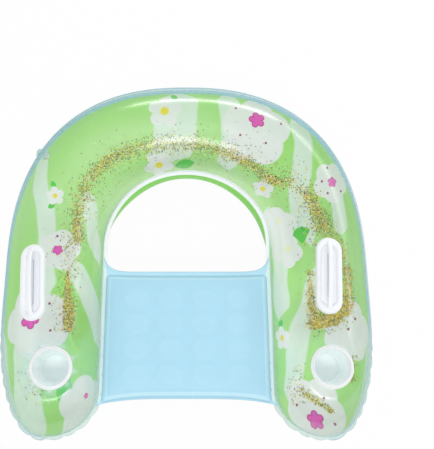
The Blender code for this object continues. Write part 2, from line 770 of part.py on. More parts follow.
def make_glitter(materials):
    bottom = -math.pi / 2
    shoulder = TIP_STEPS + ARM_STEPS
    degree = math.radians(1)
    drifts = {
        "glitter_back_drift": (shoulder + 3, STATIONS - shoulder - 1, 12, 12),
        "glitter_left_drift": (TIP_STEPS + 3, shoulder + 1, 2, 9),
        "glitter_right_drift": (STATIONS - shoulder + 1, STATIONS - TIP_STEPS - 1, 14, 16),
        "glitter_foot_drift": (STATIONS - TIP_STEPS + 1, STATIONS - TIP_STEPS + 4, 2, 10),
    }
    for name, (first, last, shift, half) in drifts.items():
        make_drift(name, first, last, bottom + shift * degree, half * degree, materials)


def make_materials():
    return {
        "clear_film": make_material("clear blue film", (0.78, 0.92, 0.94), 0.08, 0.35),
        "printed_film": make_material("printed green film", (0.45, 0.78, 0.32), 0.18),
        "seam": make_material("welded seam", (0.70, 0.90, 0.88), 0.25),
        "seat_film": make_material("light blue film", (0.42, 0.76, 0.92), 0.30),
        "handle": make_material("white soft moulding", (0.92, 0.93, 0.94), 0.35),
        "rim": make_material("white cup rim", (0.93, 0.94, 0.94), 0.32),
        "liner": make_material("frosted cup film", (0.74, 0.86, 0.86), 0.20, 0.6),
        "valve": make_material("clear soft valve", (0.82, 0.90, 0.90), 0.22),
        "glitter": make_material("gold glitter", (0.66, 0.52, 0.16), 0.35),
    }


def main():
    clear_scene()
    materials = make_materials()
    top_film, bottom_film = make_tube_films(materials)
    make_tube_seam(materials)
    seat_top, seat_bottom = make_seat(materials)
    for side_name in HANDLE_PLACES:
        make_handle(side_name, materials)
    for side_name in CUP_PLACES:
        make_cup(side_name, top_film, materials)
    make_valve("tube_valve", TUBE_STEM_REACH, tube_valve_frame(), bottom_film, materials)
    make_valve("seat_valve", SEAT_STEM_REACH, seat_valve_frame(), seat_bottom, materials)
    make_glitter(materials)


main()
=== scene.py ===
# Inflatable pool chair, dressed for its studio picture: clear and printed films, puckered welds, an
# air seat with round pads, white handles and cup rims, frosted cup pots, clear valves, loose glitter.
import json

import bmesh
import bpy
import numpy as np
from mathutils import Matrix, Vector


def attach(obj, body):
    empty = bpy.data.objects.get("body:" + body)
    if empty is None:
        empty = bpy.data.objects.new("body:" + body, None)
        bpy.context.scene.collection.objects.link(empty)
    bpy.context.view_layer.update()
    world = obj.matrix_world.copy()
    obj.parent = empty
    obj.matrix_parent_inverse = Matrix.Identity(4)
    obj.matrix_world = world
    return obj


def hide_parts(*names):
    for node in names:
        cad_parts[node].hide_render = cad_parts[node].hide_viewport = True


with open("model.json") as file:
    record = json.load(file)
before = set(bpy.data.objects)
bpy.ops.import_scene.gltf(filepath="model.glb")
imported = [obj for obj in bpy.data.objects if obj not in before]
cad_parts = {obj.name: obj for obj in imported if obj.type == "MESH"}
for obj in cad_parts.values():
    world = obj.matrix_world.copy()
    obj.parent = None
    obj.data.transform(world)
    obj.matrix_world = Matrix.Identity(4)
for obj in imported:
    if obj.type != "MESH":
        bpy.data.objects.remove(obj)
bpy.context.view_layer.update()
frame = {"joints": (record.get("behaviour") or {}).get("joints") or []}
print("stage: frame loaded")

tube = {
    "armCentre": 0.385,
    "halfWidth": 0.140,
    "halfHeight": 0.137,
    "seatHalf": 0.245,
    "outerHalf": 0.525,
    "backReach": 0.560,
    "innerBack": 0.280,
    "armReach": 0.480,
    "innerArcY": 0.050,
    "tipOuter": 0.230,
    "tipInner": 0.118,
    "taperLength": 0.360,
    "taperPower": 2.2,
    "outerPower": 2.4,
    "tipPower": 2.3,
    "floorStrip": 0.040,
    "seamLift": 0.020,
    "holeSwell": 0.0045,
    "sideSwell": 0.0135,
    "filmGap": 0.0007,
    "filmThickness": 0.0003,
    "arcY": -0.040,
    "fineSteps": 6001,
    "stations": 420,
    "topRows": 76,
    "bottomRows": 84,
}
tube["seamZ"] = tube["halfHeight"] * (1 - (tube["floorStrip"] / 2 / tube["halfWidth"]) ** 2) ** 0.5


# A screen colour, 0 to 255, as a shader reads it.
def srgb(red, green, blue):
    share = np.array([red, green, blue]) / 255
    return (*np.where(share > 0.04045, ((share + 0.055) / 1.055) ** 2.4, share / 12.92), 1.0)


# Runs from 0 to 1 with level ends while value does.
def smooth(value):
    value = np.clip(value, 0, 1)
    return value * value * (3 - 2 * value)


# The four-sided faces of a grid of rows times columns points, numbered row by row.
def gridFaces(rows, columns, closeRows=False, closeColumns=False):
    down = np.arange(rows if closeRows else rows - 1)
    along = np.arange(columns if closeColumns else columns - 1)
    r, c = np.meshgrid(down, along, indexing="ij")
    r2, c2 = (r + 1) % rows, (c + 1) % columns
    corners = (r * columns + c, r * columns + c2, r2 * columns + c2, r2 * columns + c)
    return np.stack(corners, -1).reshape(-1, 4)


# A mesh as an object of the scene, shaded smooth.
def addThing(name, mesh, material):
    mesh.shade_smooth()
    mesh.materials.append(material)
    thing = bpy.data.objects.new(name, mesh)
    bpy.context.scene.collection.objects.link(thing)
    return thing


# Puts arrays of points and of three- or four-sided faces into an object, with values at its points.
def makeMesh(name, points, faces, material, uv=None, values=None, flip=False):
    faces = np.asarray(faces)[:, ::-1] if flip else np.asarray(faces)
    mesh = bpy.data.meshes.new(name)
    mesh.vertices.add(len(points))
    mesh.vertices.foreach_set("co", np.asarray(points, np.float32).ravel())
    mesh.loops.add(faces.size)
    mesh.loops.foreach_set("vertex_index", faces.ravel().astype(np.int32))
    mesh.polygons.add(len(faces))
    mesh.polygons.foreach_set("loop_start", np.arange(0, faces.size, faces.shape[1], dtype=np.int32))
    mesh.update(calc_edges=True)
    mesh.validate()
    if uv is not None:
        layer = mesh.uv_layers.new(name="printMap")
        layer.data.foreach_set("uv", np.asarray(uv, np.float32)[faces.ravel()].ravel())
    for key, data in (values or {}).items():
        attribute = mesh.attributes.new(key, "FLOAT", "POINT")
        attribute.data.foreach_set("value", np.asarray(data, np.float32).ravel())
    return addThing(name, mesh, material)


# Joins points that share a place, so that a surface that folds onto itself is closed.
def weldDoubles(thing):
    shell = bmesh.new()
    shell.from_mesh(thing.data)
    bmesh.ops.remove_doubles(shell, verts=shell.verts, dist=1e-6)
    shell.to_mesh(thing.data)
    shell.free()


# Gives an open film its thickness: on its inner side for offset -1, its outer for 1, both for 0.
def addWall(thing, thickness, offset=-1):
    wall = thing.modifiers.new("wall", "SOLIDIFY")
    wall.thickness = thickness
    wall.offset = offset
    wall.use_even_offset = False


# The body that a piece rides on and the CAD nodes that it stands in for; the material slot's name is
# not used.
def dress(thing, body, slotName, *nodes):
    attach(thing, body)
    if nodes:
        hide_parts(*nodes)


# The tube. A rib joins an outer weld point to an inner one; its section is half an ellipse above and
# half below. Places are worked out about the arc's centre at weld height, then moved to the frame.


# A quarter of a superellipse: angle 0 is its side, a quarter turn its end.
def quarter(halfX, halfY, power, angle):
    across = halfX * np.clip(np.cos(angle), 0, 1) ** (2 / power)
    return across, halfY * np.clip(np.sin(angle), 0, 1) ** (2 / power)


# How far the outer weld line lies from the arm's middle at y: a quarter of a superellipse draws it in
# towards the arm's end.
def outerEdge(y):
    into = np.clip((tube["taperLength"] - tube["armReach"] - y) / tube["taperLength"], 0, 1)
    return quarter(tube["halfWidth"], 1, tube["taperPower"], np.arcsin(into ** (
        tube["taperPower"] / 2)))[0]


# Weld points, height share and inner weld lift for steps 0 (left tip) to 6 (right tip). Each side has
# three equal stretches: the arm's round tip, the straight arm, the quarter bend.
def ribAt(step):
    step = np.asarray(step, float)
    side = np.where(step > 3, 1.0, -1.0)
    half = np.where(step > 3, 6 - step, step)
    angle = np.pi / 2 * (1 - np.clip(half, 0, 1))
    high, outY = quarter(1, tube["tipOuter"], tube["tipPower"], angle)
    inX, inY = quarter(tube["halfWidth"], tube["tipInner"], 2, angle)
    share = np.where(half < 1, np.maximum(high, 1e-4), 1.0)
    outY = tube["tipOuter"] - tube["armReach"] - outY
    tipOuter = (tube["armCentre"] + outerEdge(outY), outY)
    tipInner = (tube["armCentre"] - inX, tube["tipInner"] - tube["armReach"] - inY)
    along = np.clip(half - 1, 0, 1)
    outerStart, innerStart = tube["tipOuter"] - tube["armReach"], tube["tipInner"] - tube["armReach"]
    armOuter = (tube["armCentre"] + outerEdge(outerStart * (1 - along)), outerStart * (1 - along))
    armInner = (tube["seatHalf"] + 0 * along, innerStart + (tube["innerArcY"] - innerStart) * along)
    bend = np.pi / 2 * np.clip(half - 2, 0, 1)
    backOuter = quarter(tube["outerHalf"], tube["backReach"], tube["outerPower"], bend)
    inX, inY = quarter(tube["seatHalf"], tube["innerBack"] - tube["innerArcY"], 2, bend)
    backInner = (inX, tube["innerArcY"] + inY)
    lift = tube["seamLift"] * smooth((step - 2) / 0.75) * (1 - smooth((step - 3.76) / 0.32))
    outer, inner = [
        [np.where(half < 1, tip, np.where(half < 2, arm, back)) for tip, arm, back in zip(*line)]
        for line in ((tipOuter, armOuter, backOuter), (tipInner, armInner, backInner))]
    return (np.stack([side * outer[0], outer[1]], -1), np.stack([side * inner[0], inner[1]], -1),
            share, lift)


# Steps that lie evenly along the tube, measured on the mean of its two weld lines.
def evenSteps(count):
    fine = np.linspace(0, 6, tube["fineSteps"])
    outer, inner, _, _ = ribAt(fine)
    run = [np.linalg.norm(np.diff(line, axis=0), axis=1) for line in (outer, inner)]
    length = np.concatenate([[0], np.cumsum((run[0] + run[1]) / 2)])
    return np.interp(np.linspace(0, length[-1], count), length, fine), length[-1]


steps, tubeLength = evenSteps(tube["stations"])
ribOuter, ribInner, ribShare, ribLift = ribAt(steps)
ribRun = np.linspace(0, tubeLength, tube["stations"])


# From places about the arc's centre at weld height to the shared frame.
def toFrame(x, y, z):
    return np.stack([x, y + tube["arcY"], z + tube["seamZ"]], -1)


# The film's points, its normals, section angles and places on the flat sheet before welding. A point
# is the rib's middle plus its half length times the angle's cosine across, and the height share times
# the angle's sine up. The flat sheet keeps the lengths round the section.
def tubeGrid(top, rows):
    height = tube["halfHeight"] * ribShare[:, None]
    edge = np.arcsin(np.clip(tube["filmGap"] / height, 0, 0.9))
    if top:
        start = edge
        end = np.pi - np.arcsin(np.clip((ribLift[:, None] + tube["filmGap"]) / height, -0.9, 0.9))
    else:
        start = -edge
        end = -np.pi - np.arcsin(np.clip((ribLift[:, None] - tube["filmGap"]) / height, -0.9, 0.9))
    angle = start + (end - start) * np.linspace(0, 1, rows)[None, :]
    middle, reach = (ribOuter + ribInner) / 2, (ribOuter - ribInner) / 2
    across = np.cos(angle)
    x = middle[:, 0, None] + reach[:, 0, None] * across
    y = middle[:, 1, None] + reach[:, 1, None] * across
    z = height * np.sin(angle)
    width = np.linalg.norm(reach, axis=1)[:, None]
    pole = np.pi / 2 if top else -np.pi / 2
    turn = (pole - angle) if top else (angle - pole)
    girth = turn * (width + height) / 2
    unit = reach / np.maximum(width, 1e-6)
    flat = middle[:, None, :] + unit[:, None, :] * girth[..., None]
    normal = np.stack([unit[:, 0, None] * across / width, unit[:, 1, None] * across / width,
                       np.sin(angle) / height], -1)
    normal /= np.linalg.norm(normal, axis=-1, keepdims=True)
    return x, y, z, normal, angle, flat


cups = {
    "left": {"side": -1, "shift": -0.035, "along": -0.300},
    "right": {"side": 1, "shift": -0.010, "along": -0.298},
    "mouth": 0.046,
    "rimWidth": 0.0115,
    "lipWidth": 0.0095,
    "floorRadius": 0.035,
    "depth": 0.080,
    "seatMargin": 0.009,
    "blend": 0.044,
    "leanShare": 0.3,
    "creaseDepth": 0.0012,
    "creaseReach": 0.020,
    "creaseStart": 0.002,
    "foldDepth": 0.0027,
    # Painted highlights on the folds round each rim: their share and reach
    "frost": 0.44,
    "frostReach": 0.013,
    "gap": 0.0003,
    "floorLap": 0.0012,
    "around": 128,
    "floorAround": 96,
    # The rim bead's section: how far out from the mouth, and how high
    "bead": (
        (0.0, 0.0), (0.0, 0.0045), (0.0006, 0.0074), (0.0020, 0.0085), (0.0036, 0.0079),
        (0.0043, 0.0060), (0.0046, 0.0038), (0.0053, 0.0036), (0.0057, 0.0044), (0.0070, 0.0046),
        (0.0086, 0.0036), (0.0092, 0.0016), (0.0092, 0.0),
    ),
}


# The mouth's middle about the arc's centre, and the cup's lean about +Y.
def cupPlace(name):
    cup = cups[name]
    fall = cup["shift"] / tube["halfWidth"]
    height = tube["halfHeight"] * (1 - fall * fall) ** 0.5
    slope = tube["halfHeight"] / tube["halfWidth"] * fall / (1 - fall * fall) ** 0.5
    lean = cup["side"] * np.arctan(slope) * cups["leanShare"]
    return cup["side"] * (tube["armCentre"] + cup["shift"]), cup["along"], height, lean


# Draws the film flat under each rim, and lets it run back into the tube's round.
def settleOnCups(x, y, z):
    for name in ("left", "right"):
        cupX, cupY, height, lean = cupPlace(name)
        away = np.hypot(x - cupX, y - cupY)
        flat = cups["mouth"] + cups["rimWidth"] + cups["seatMargin"]
        level = height - np.tan(lean) * (x - cupX)
        z = z + (level - z) * (1 - smooth((away - flat) / cups["blend"]))
    return z


puckers = {
    "reach": 0.030,
    "tipDepth": 0.0022,
    "sideDepth": 0.0007,
    "tipWave": 0.034,
    "sideWave": 0.021,
}


# How deep the weld gathers the film at each rib: deep round the arms' tips, shallow elsewhere.
def puckerDepth():
    fromTip = np.minimum(steps, 6 - steps)
    return puckers["sideDepth"] + (puckers["tipDepth"] - puckers["sideDepth"]) * (
        1 - smooth((fromTip - 0.55) / 0.9))


# An uneven ripple along the weld, from three sines of unlike lengths.
def gather(run, wave):
    return (0.55 * np.sin(2 * np.pi * run / wave + 1.7 * np.sin(run / wave * 0.73))
            + 0.30 * np.sin(2 * np.pi * run / (wave * 0.61) + 0.9)
            + 0.15 * np.sin(2 * np.pi * run / (wave * 0.37) + 2.1))


# Moves the film in along its normal near both welds, by the ripple and a fading share.
def puckerFilm(x, y, z, normal, angle):
    run = ribRun[:, None]
    depth = puckerDepth()[:, None]
    toOuter = np.abs(np.sin(angle / 2)) * 2 * tube["halfWidth"]
    toInner = np.abs(np.cos(angle / 2)) * 2 * tube["halfWidth"]
    outerRipple = gather(run * 1.35, puckers["tipWave"]) * np.exp(-((toOuter / puckers["reach"]) ** 2))
    innerRipple = gather(run * 0.90 + 0.4, puckers["sideWave"]) * np.exp(
        -((toInner / puckers["reach"]) ** 2))
    near = np.minimum(toOuter, toInner)
    move = -depth * (0.5 + 0.5 * (outerRipple + innerRipple)) * np.exp(
        -((near / puckers["reach"]) ** 2)) * smooth(near / 0.004)
    return x + move * normal[..., 0], y + move * normal[..., 1], z + move * normal[..., 2]


# The distance past a cup's rim, the angle about the cup, and an uneven wave with nine crests round it.
def roundCup(name, x, y):
    cupX, cupY, _, _ = cupPlace(name)
    away = np.hypot(x - cupX, y - cupY) - cups["mouth"] - cups["rimWidth"]
    turn = np.arctan2(y - cupY, x - cupX)
    return away, turn, np.sin(9 * turn + 1.2 * np.sin(2 * turn) + cupX * 9)


# Short folds that run out from each cup's weld and fade with distance: nine and seventeen waves.
def creaseRoundCups(x, y, z):
    for name in ("left", "right"):
        away, turn, wave = roundCup(name, x, y)
        past = away - cups["creaseStart"]
        fade = smooth(past / 0.010) * np.exp(-np.clip(past, 0, 1) / cups["creaseReach"])
        z = z + cups["creaseDepth"] * (0.6 * wave + 0.4 * np.sin(17 * turn + 0.7)) * fade
    return z


# Leaves out the faces inside a round hole, and draws the edge that is left onto its circle.
def cutRound(points, faces, centre, radius, axis):
    axis = np.asarray(axis, float) / np.linalg.norm(axis)
    rel = points - centre
    up = rel @ axis
    flat = rel - up[:, None] * axis
    away = np.linalg.norm(flat, axis=1)
    inside = (away < radius) & (np.abs(up) < radius)
    gone = inside[faces].any(axis=1)
    edge = np.zeros(len(points), bool)
    edge[faces[gone].ravel()] = True
    kept = faces[~gone]
    used = np.zeros(len(points), bool)
    used[kept.ravel()] = True
    edge &= used
    scale = radius / np.maximum(away[edge], 1e-9)
    points = points.copy()
    points[edge] = centre + up[edge, None] * axis + flat[edge] * scale[:, None]
    return points, kept


# Leaves out the points that no face uses.
def dropUnused(points, faces, *extra):
    used = np.unique(faces)
    number = np.full(len(points), -1)
    number[used] = np.arange(len(used))
    return (points[used], number[faces], *[data[used] for data in extra])


# Shader helpers


# A material, its emptied tree and its output.
def newMaterial(name):
    material = bpy.data.materials.new(name)
    material.use_nodes = True
    tree = material.node_tree
    tree.nodes.clear()
    return material, tree, tree.nodes.new("ShaderNodeOutputMaterial")


# Adds a shader node. An input is linked where a socket is given, and set where a value is.
def node(tree, kind, inputs=None, **settings):
    made = tree.nodes.new("ShaderNode" + kind)
    for key, value in settings.items():
        setattr(made, key, value)
    for key, value in (inputs or {}).items():
        socket = made.inputs[key]
        if isinstance(value, bpy.types.NodeSocket):
            tree.links.new(value, socket)
        else:
            socket.default_value = value
    return made


# One sum of a shader tree.
def calc(tree, operation, *terms):
    return node(tree, "Math", dict(enumerate(terms)), operation=operation).outputs[0]


# The first colour where share is 0, the second where it is 1.
def blendColour(tree, share, first, second):
    return node(tree, "Mix", {0: share, 6: first, 7: second}, data_type="RGBA").outputs[2]


# The first shader where share is 0, the second where it is 1.
def blendShader(tree, share, first, second):
    return node(tree, "MixShader", {0: share, 1: first, 2: second}).outputs[0]


# A value that the mesh carries at its points.
def carried(tree, name):
    return node(tree, "Attribute", attribute_name=name).outputs["Fac"]


# 1 where value is under the limit, with a soft edge.
def edgeStep(tree, value, limit, soft):
    made = node(tree, "MapRange", {"Value": value, "From Min": limit + soft, "From Max": limit - soft},
                clamp=True)
    return made.outputs[0]


# Noise over the object's own places.
def objectNoise(tree, scale, detail):
    place = node(tree, "TexCoord").outputs["Object"]
    return node(tree, "TexNoise", {"Vector": place, "Scale": scale, "Detail": detail}).outputs[0]


# A colour times a noise that is drawn out to run from low to high.
def mottled(tree, colour, noise, low, high):
    shade = node(tree, "MapRange", {"Value": noise, "To Min": low, "To Max": high}).outputs[0]
    return node(tree, "MixRGB", {0: 1.0, 1: colour, 2: shade}, blend_type="MULTIPLY").outputs[0]


# The normal of a skin that rises and falls with a noise.
def uneven(tree, noise, strength, depth):
    return node(tree, "Bump", {"Height": noise, "Strength": strength, "Distance": depth}).outputs[0]


# Ends a tree in a mottled and uneven surface, both from one noise over the object.
def skinSurface(tree, output, colour, skin, **inputs):
    noise = objectNoise(tree, skin["grain"], skin["detail"])
    shader = node(tree, "BsdfPrincipled", {
        "Base Color": mottled(tree, colour, noise, *skin["tone"]),
        "Normal": uneven(tree, noise, *skin["bump"]), **inputs})
    tree.links.new(shader.outputs[0], output.inputs[0])


clearLook = {
    "facingShine": 0.024,
    "edgeShine": 0.09,
    "shineBlend": 0.28,
    "facingHaze": 0.005,
    "edgeHaze": 0.88,
    "edgePower": 5.0,
    "hazeBlend": 0.5,
    # Frost's whiter tone: painted light over the weld's shaded crease, and painted highlights on the
    # folds round the cups
    "frostGain": 2.4,
    "tint": srgb(255, 255, 255),
    "edgeColour": srgb(138, 194, 213),
    "frostColour": srgb(236, 250, 246),
    "roughness": 0.22,
    "rippleScale": 9.0,
    "rippleStrength": 0.22,
    "rippleDepth": 0.006,
}


# Clear film: what is behind shows through, but less at a glancing angle, where the way through the blue
# film is longer, by the share that rimHaze gives, and less where the weld gathers it. Where the frost
# mark is set the milk turns whiter: painted light over the weld's shaded crease, and painted highlights
# on the folds round the cups. A soft gloss lies over it all.
def clearFilmMaterial():
    look = clearLook
    material, tree, output = newMaterial("clear blue film")
    ripple = objectNoise(tree, look["rippleScale"], 2.0)
    gloss = node(tree, "BsdfGlossy", {
        "Color": (1, 1, 1, 1), "Roughness": look["roughness"],
        "Normal": uneven(tree, ripple, look["rippleStrength"], look["rippleDepth"])})
    frost = carried(tree, "frost")
    tone = blendColour(tree, calc(tree, "MULTIPLY", frost, look["frostGain"]), look["edgeColour"],
                       look["frostColour"])
    haze = node(tree, "BsdfDiffuse", {"Color": tone})
    through = node(tree, "BsdfTransparent", {"Color": look["tint"]})
    glance = node(tree, "LayerWeight", {"Blend": look["hazeBlend"]}).outputs["Facing"]
    rim = node(tree, "LayerWeight", {"Blend": look["shineBlend"]}).outputs["Fresnel"]
    shine = calc(tree, "MULTIPLY_ADD", rim, look["edgeShine"], look["facingShine"])
    steep = calc(tree, "MULTIPLY", calc(tree, "POWER", glance, look["edgePower"]),
                 carried(tree, "rimHaze"))
    milk = calc(tree, "ADD", frost, calc(tree, "MULTIPLY_ADD", steep, look["edgeHaze"],
                                         look["facingHaze"]))
    body = blendShader(tree, milk, through.outputs[0], haze.outputs[0])
    tree.links.new(blendShader(tree, shine, body, gloss.outputs[0]), output.inputs[0])
    return material


printLook = {
    "deepGreen": srgb(170, 234, 124),
    "paleGreen": srgb(232, 246, 238),
    "petal": srgb(246, 246, 252),
    "heart": srgb(244, 88, 204),
    "heartEdge": srgb(184, 58, 158),
    "halo": srgb(255, 240, 250),
    "dot": srgb(140, 70, 120),
    "yellow": srgb(252, 232, 66),
    "leaf": srgb(92, 212, 76),
    "margin": srgb(220, 242, 236),
    "paleYellow": srgb(250, 246, 190),
    "underGreen": srgb(146, 232, 98),
    # Paler green, partly painted light on the film's shaded steep flanks
    "fadeGreen": srgb(212, 243, 188),
    "pollen": ((0.299, 0.166, 0.013), (0.324, 0.074, 0.014)),
    "patch": 0.22,
    "patchScale": 3.1,
    "sway": 0.050,
    "swayScale": 5.5,
    "mottleScale": 38.0,
    "dotSize": 0.0055,
    # Pale stripes: half width, first and last y, then the middle's x at five even places between
    "stripes": (
        (0.033, 0.42, -0.10, (-0.496, -0.484, -0.462, -0.445, -0.440)),
        (0.050, -0.16, -0.60, (-0.470, -0.488, -0.480, -0.440, -0.400)),
        (0.026, 0.28, 0.01, (-0.325, -0.318, -0.300, -0.275, -0.245)),
        (0.036, 0.06, -0.26, (-0.380, -0.340, -0.290, -0.250, -0.210)),
        (0.075, 0.64, 0.36, (-0.030, -0.030, -0.035, -0.045, -0.100)),
        (0.045, 0.64, 0.34, (0.150, 0.152, 0.160, 0.150, 0.135)),
        (0.037, 0.56, 0.08, (0.400, 0.395, 0.385, 0.375, 0.400)),
        (0.036, 0.05, -0.42, (0.430, 0.400, 0.350, 0.325, 0.300)),
        (0.027, 0.27, 0.11, (0.492, 0.498, 0.502, 0.505, 0.507)),
        (0.036, 0.22, -0.16, (0.262, 0.270, 0.290, 0.285, 0.270)),
    ),
    # Motifs: x and y on the flat sheet in metres, size and turn
    "blossoms": (
        (0.238, 0.482, 0.124, 0.5), (0.488, 0.290, 0.072, 0.9), (0.298, 0.157, 0.060, 0.2),
        (0.317, 0.069, 0.059, 0.8), (-0.408, 0.072, 0.070, 0.5), (-0.466, -0.160, 0.108, 1.1),
        (-0.292, -0.402, 0.088, 0.1), (0.503, -0.183, 0.090, 0.6), (0.374, -0.416, 0.100, 0.9),
    ),
    "hearts": (
        (0.243, 0.517, 0.029, 0.2), (0.488, 0.290, 0.018, 0.5), (-0.414, 0.072, 0.017, 0.9),
        (-0.487, -0.151, 0.030, 0.7), (0.374, -0.442, 0.026, 0.3), (-0.290, -0.377, 0.009, 0.0),
    ),
    "dots": (
        (0.174, 0.563), (0.328, 0.501), (0.182, 0.468), (0.267, 0.437), (-0.429, -0.100),
        (-0.421, -0.183), (0.323, -0.402), (0.410, -0.382), (0.429, -0.451), (0.500, -0.180),
        (-0.418, 0.118), (-0.452, 0.048),
        (0.449, 0.296), (0.466, 0.255), (0.520, 0.256), (0.478, 0.340), (0.528, -0.150),
    ),
    "daisies": (
        (-0.077, 0.554, 0.060, 0.4), (-0.432, 0.250, 0.031, 0.1), (-0.092, 0.363, 0.050, 0.9),
        (0.254, 0.280, 0.036, 0.5), (0.281, -0.210, 0.036, 0.2),
    ),
    "leaves": (
        (-0.046, 0.614, 0.016, 2.6), (0.372, 0.130, 0.032, 0.4), (0.373, 0.119, 0.025, 1.6),
        (-0.006, 0.364, 0.034, 0.3),
        (-0.440, 0.286, 0.014, 2.2), (-0.442, 0.216, 0.014, 0.6), (-0.368, -0.358, 0.036, 1.2),
        (0.276, -0.168, 0.016, 0.9),
    ),
}


# Five lobes about a point: the polar angle is folded into one lobe and a circle is drawn in it. Broad
# lobes melt into each other, as on a blossom, and slim ones stand apart, as on a daisy or a star.
def lobeGroup():
    tree = bpy.data.node_groups.new("fiveLobes", "ShaderNodeTree")
    tree.interface.new_socket(name="Place", in_out="INPUT", socket_type="NodeSocketVector")
    for name in ("X", "Y", "Size", "Turn"):
        tree.interface.new_socket(name=name, in_out="INPUT", socket_type="NodeSocketFloat")
    for name in ("Broad", "Slim", "Distance"):
        tree.interface.new_socket(name=name, in_out="OUTPUT", socket_type="NodeSocketFloat")
    entry = tree.nodes.new("NodeGroupInput")
    leave = tree.nodes.new("NodeGroupOutput")
    parts = node(tree, "SeparateXYZ", {0: entry.outputs["Place"]})
    size = entry.outputs["Size"]
    x = calc(tree, "DIVIDE", calc(tree, "SUBTRACT", parts.outputs[0], entry.outputs["X"]), size)
    y = calc(tree, "DIVIDE", calc(tree, "SUBTRACT", parts.outputs[1], entry.outputs["Y"]), size)
    distance = calc(tree, "SQRT", calc(tree, "MULTIPLY_ADD", x, x, calc(tree, "MULTIPLY", y, y)))
    angle = calc(tree, "ADD", calc(tree, "ARCTAN2", y, x), entry.outputs["Turn"])
    lobe = 2 * np.pi / 5
    folded = calc(tree, "SUBTRACT", calc(tree, "FLOORED_MODULO", angle, lobe), lobe / 2)
    u = calc(tree, "MULTIPLY", distance, calc(tree, "COSINE", folded))
    v = calc(tree, "MULTIPLY", distance, calc(tree, "SINE", folded))
    square = calc(tree, "MULTIPLY", v, v)
    for name, centre, radius in (("Broad", 0.48, 0.50), ("Slim", 0.60, 0.40)):
        along = calc(tree, "SUBTRACT", u, centre)
        away = calc(tree, "SQRT", calc(tree, "MULTIPLY_ADD", along, along, square))
        tree.links.new(calc(tree, "SUBTRACT", away, radius), leave.inputs[name])
    tree.links.new(distance, leave.inputs["Distance"])
    return tree


# A pointed leaf: its half width is a share of its size and falls off with the square along it.
def leafMask(tree, place, x, y, size, turn):
    shifted = node(tree, "Mapping", {"Vector": place, "Location": (x, y, 0), "Rotation": (0, 0, turn),
                                     "Scale": (size, size, 1)}, vector_type="TEXTURE")
    parts = node(tree, "SeparateXYZ", {0: shifted.outputs[0]})
    width = calc(tree, "MULTIPLY_ADD", calc(tree, "MULTIPLY", parts.outputs[0], parts.outputs[0]),
                 -0.62, 0.62)
    return edgeStep(tree, calc(tree, "SUBTRACT", calc(tree, "ABSOLUTE", parts.outputs[1]), width),
                    0.0, 0.04)


# A wavy stripe: the distance across from its middle line, which a curve gives for each y, less its
# half width; it narrows to nothing at its two ends.
def stripeMask(tree, parts, sway, half, top, bottom, middles):
    share = node(tree, "MapRange", {"Value": parts.outputs[1], "From Min": bottom, "From Max": top},
                 clamp=True).outputs[0]
    line = node(tree, "FloatCurve", {"Value": share})
    curve = line.mapping.curves[0]
    for index, middle in enumerate(reversed(middles)):
        at, level = index / (len(middles) - 1), (middle + 0.7) / 1.4
        if index in (0, len(middles) - 1):
            curve.points[0 if index == 0 else -1].location = (at, level)
        else:
            curve.points.new(at, level)
    line.mapping.update()
    middle = calc(tree, "MULTIPLY_ADD", line.outputs[0], 1.4, -0.7)
    across = calc(tree, "ABSOLUTE", calc(tree, "ADD", calc(tree, "SUBTRACT", parts.outputs[0], middle),
                                         sway))
    end = calc(tree, "MULTIPLY", share, calc(tree, "SUBTRACT", 1.0, share))
    width = calc(tree, "MULTIPLY", calc(tree, "MINIMUM", calc(tree, "MULTIPLY", end, 9.0), 1.0), half)
    return edgeStep(tree, calc(tree, "SUBTRACT", across, width), -0.002, 0.0035)
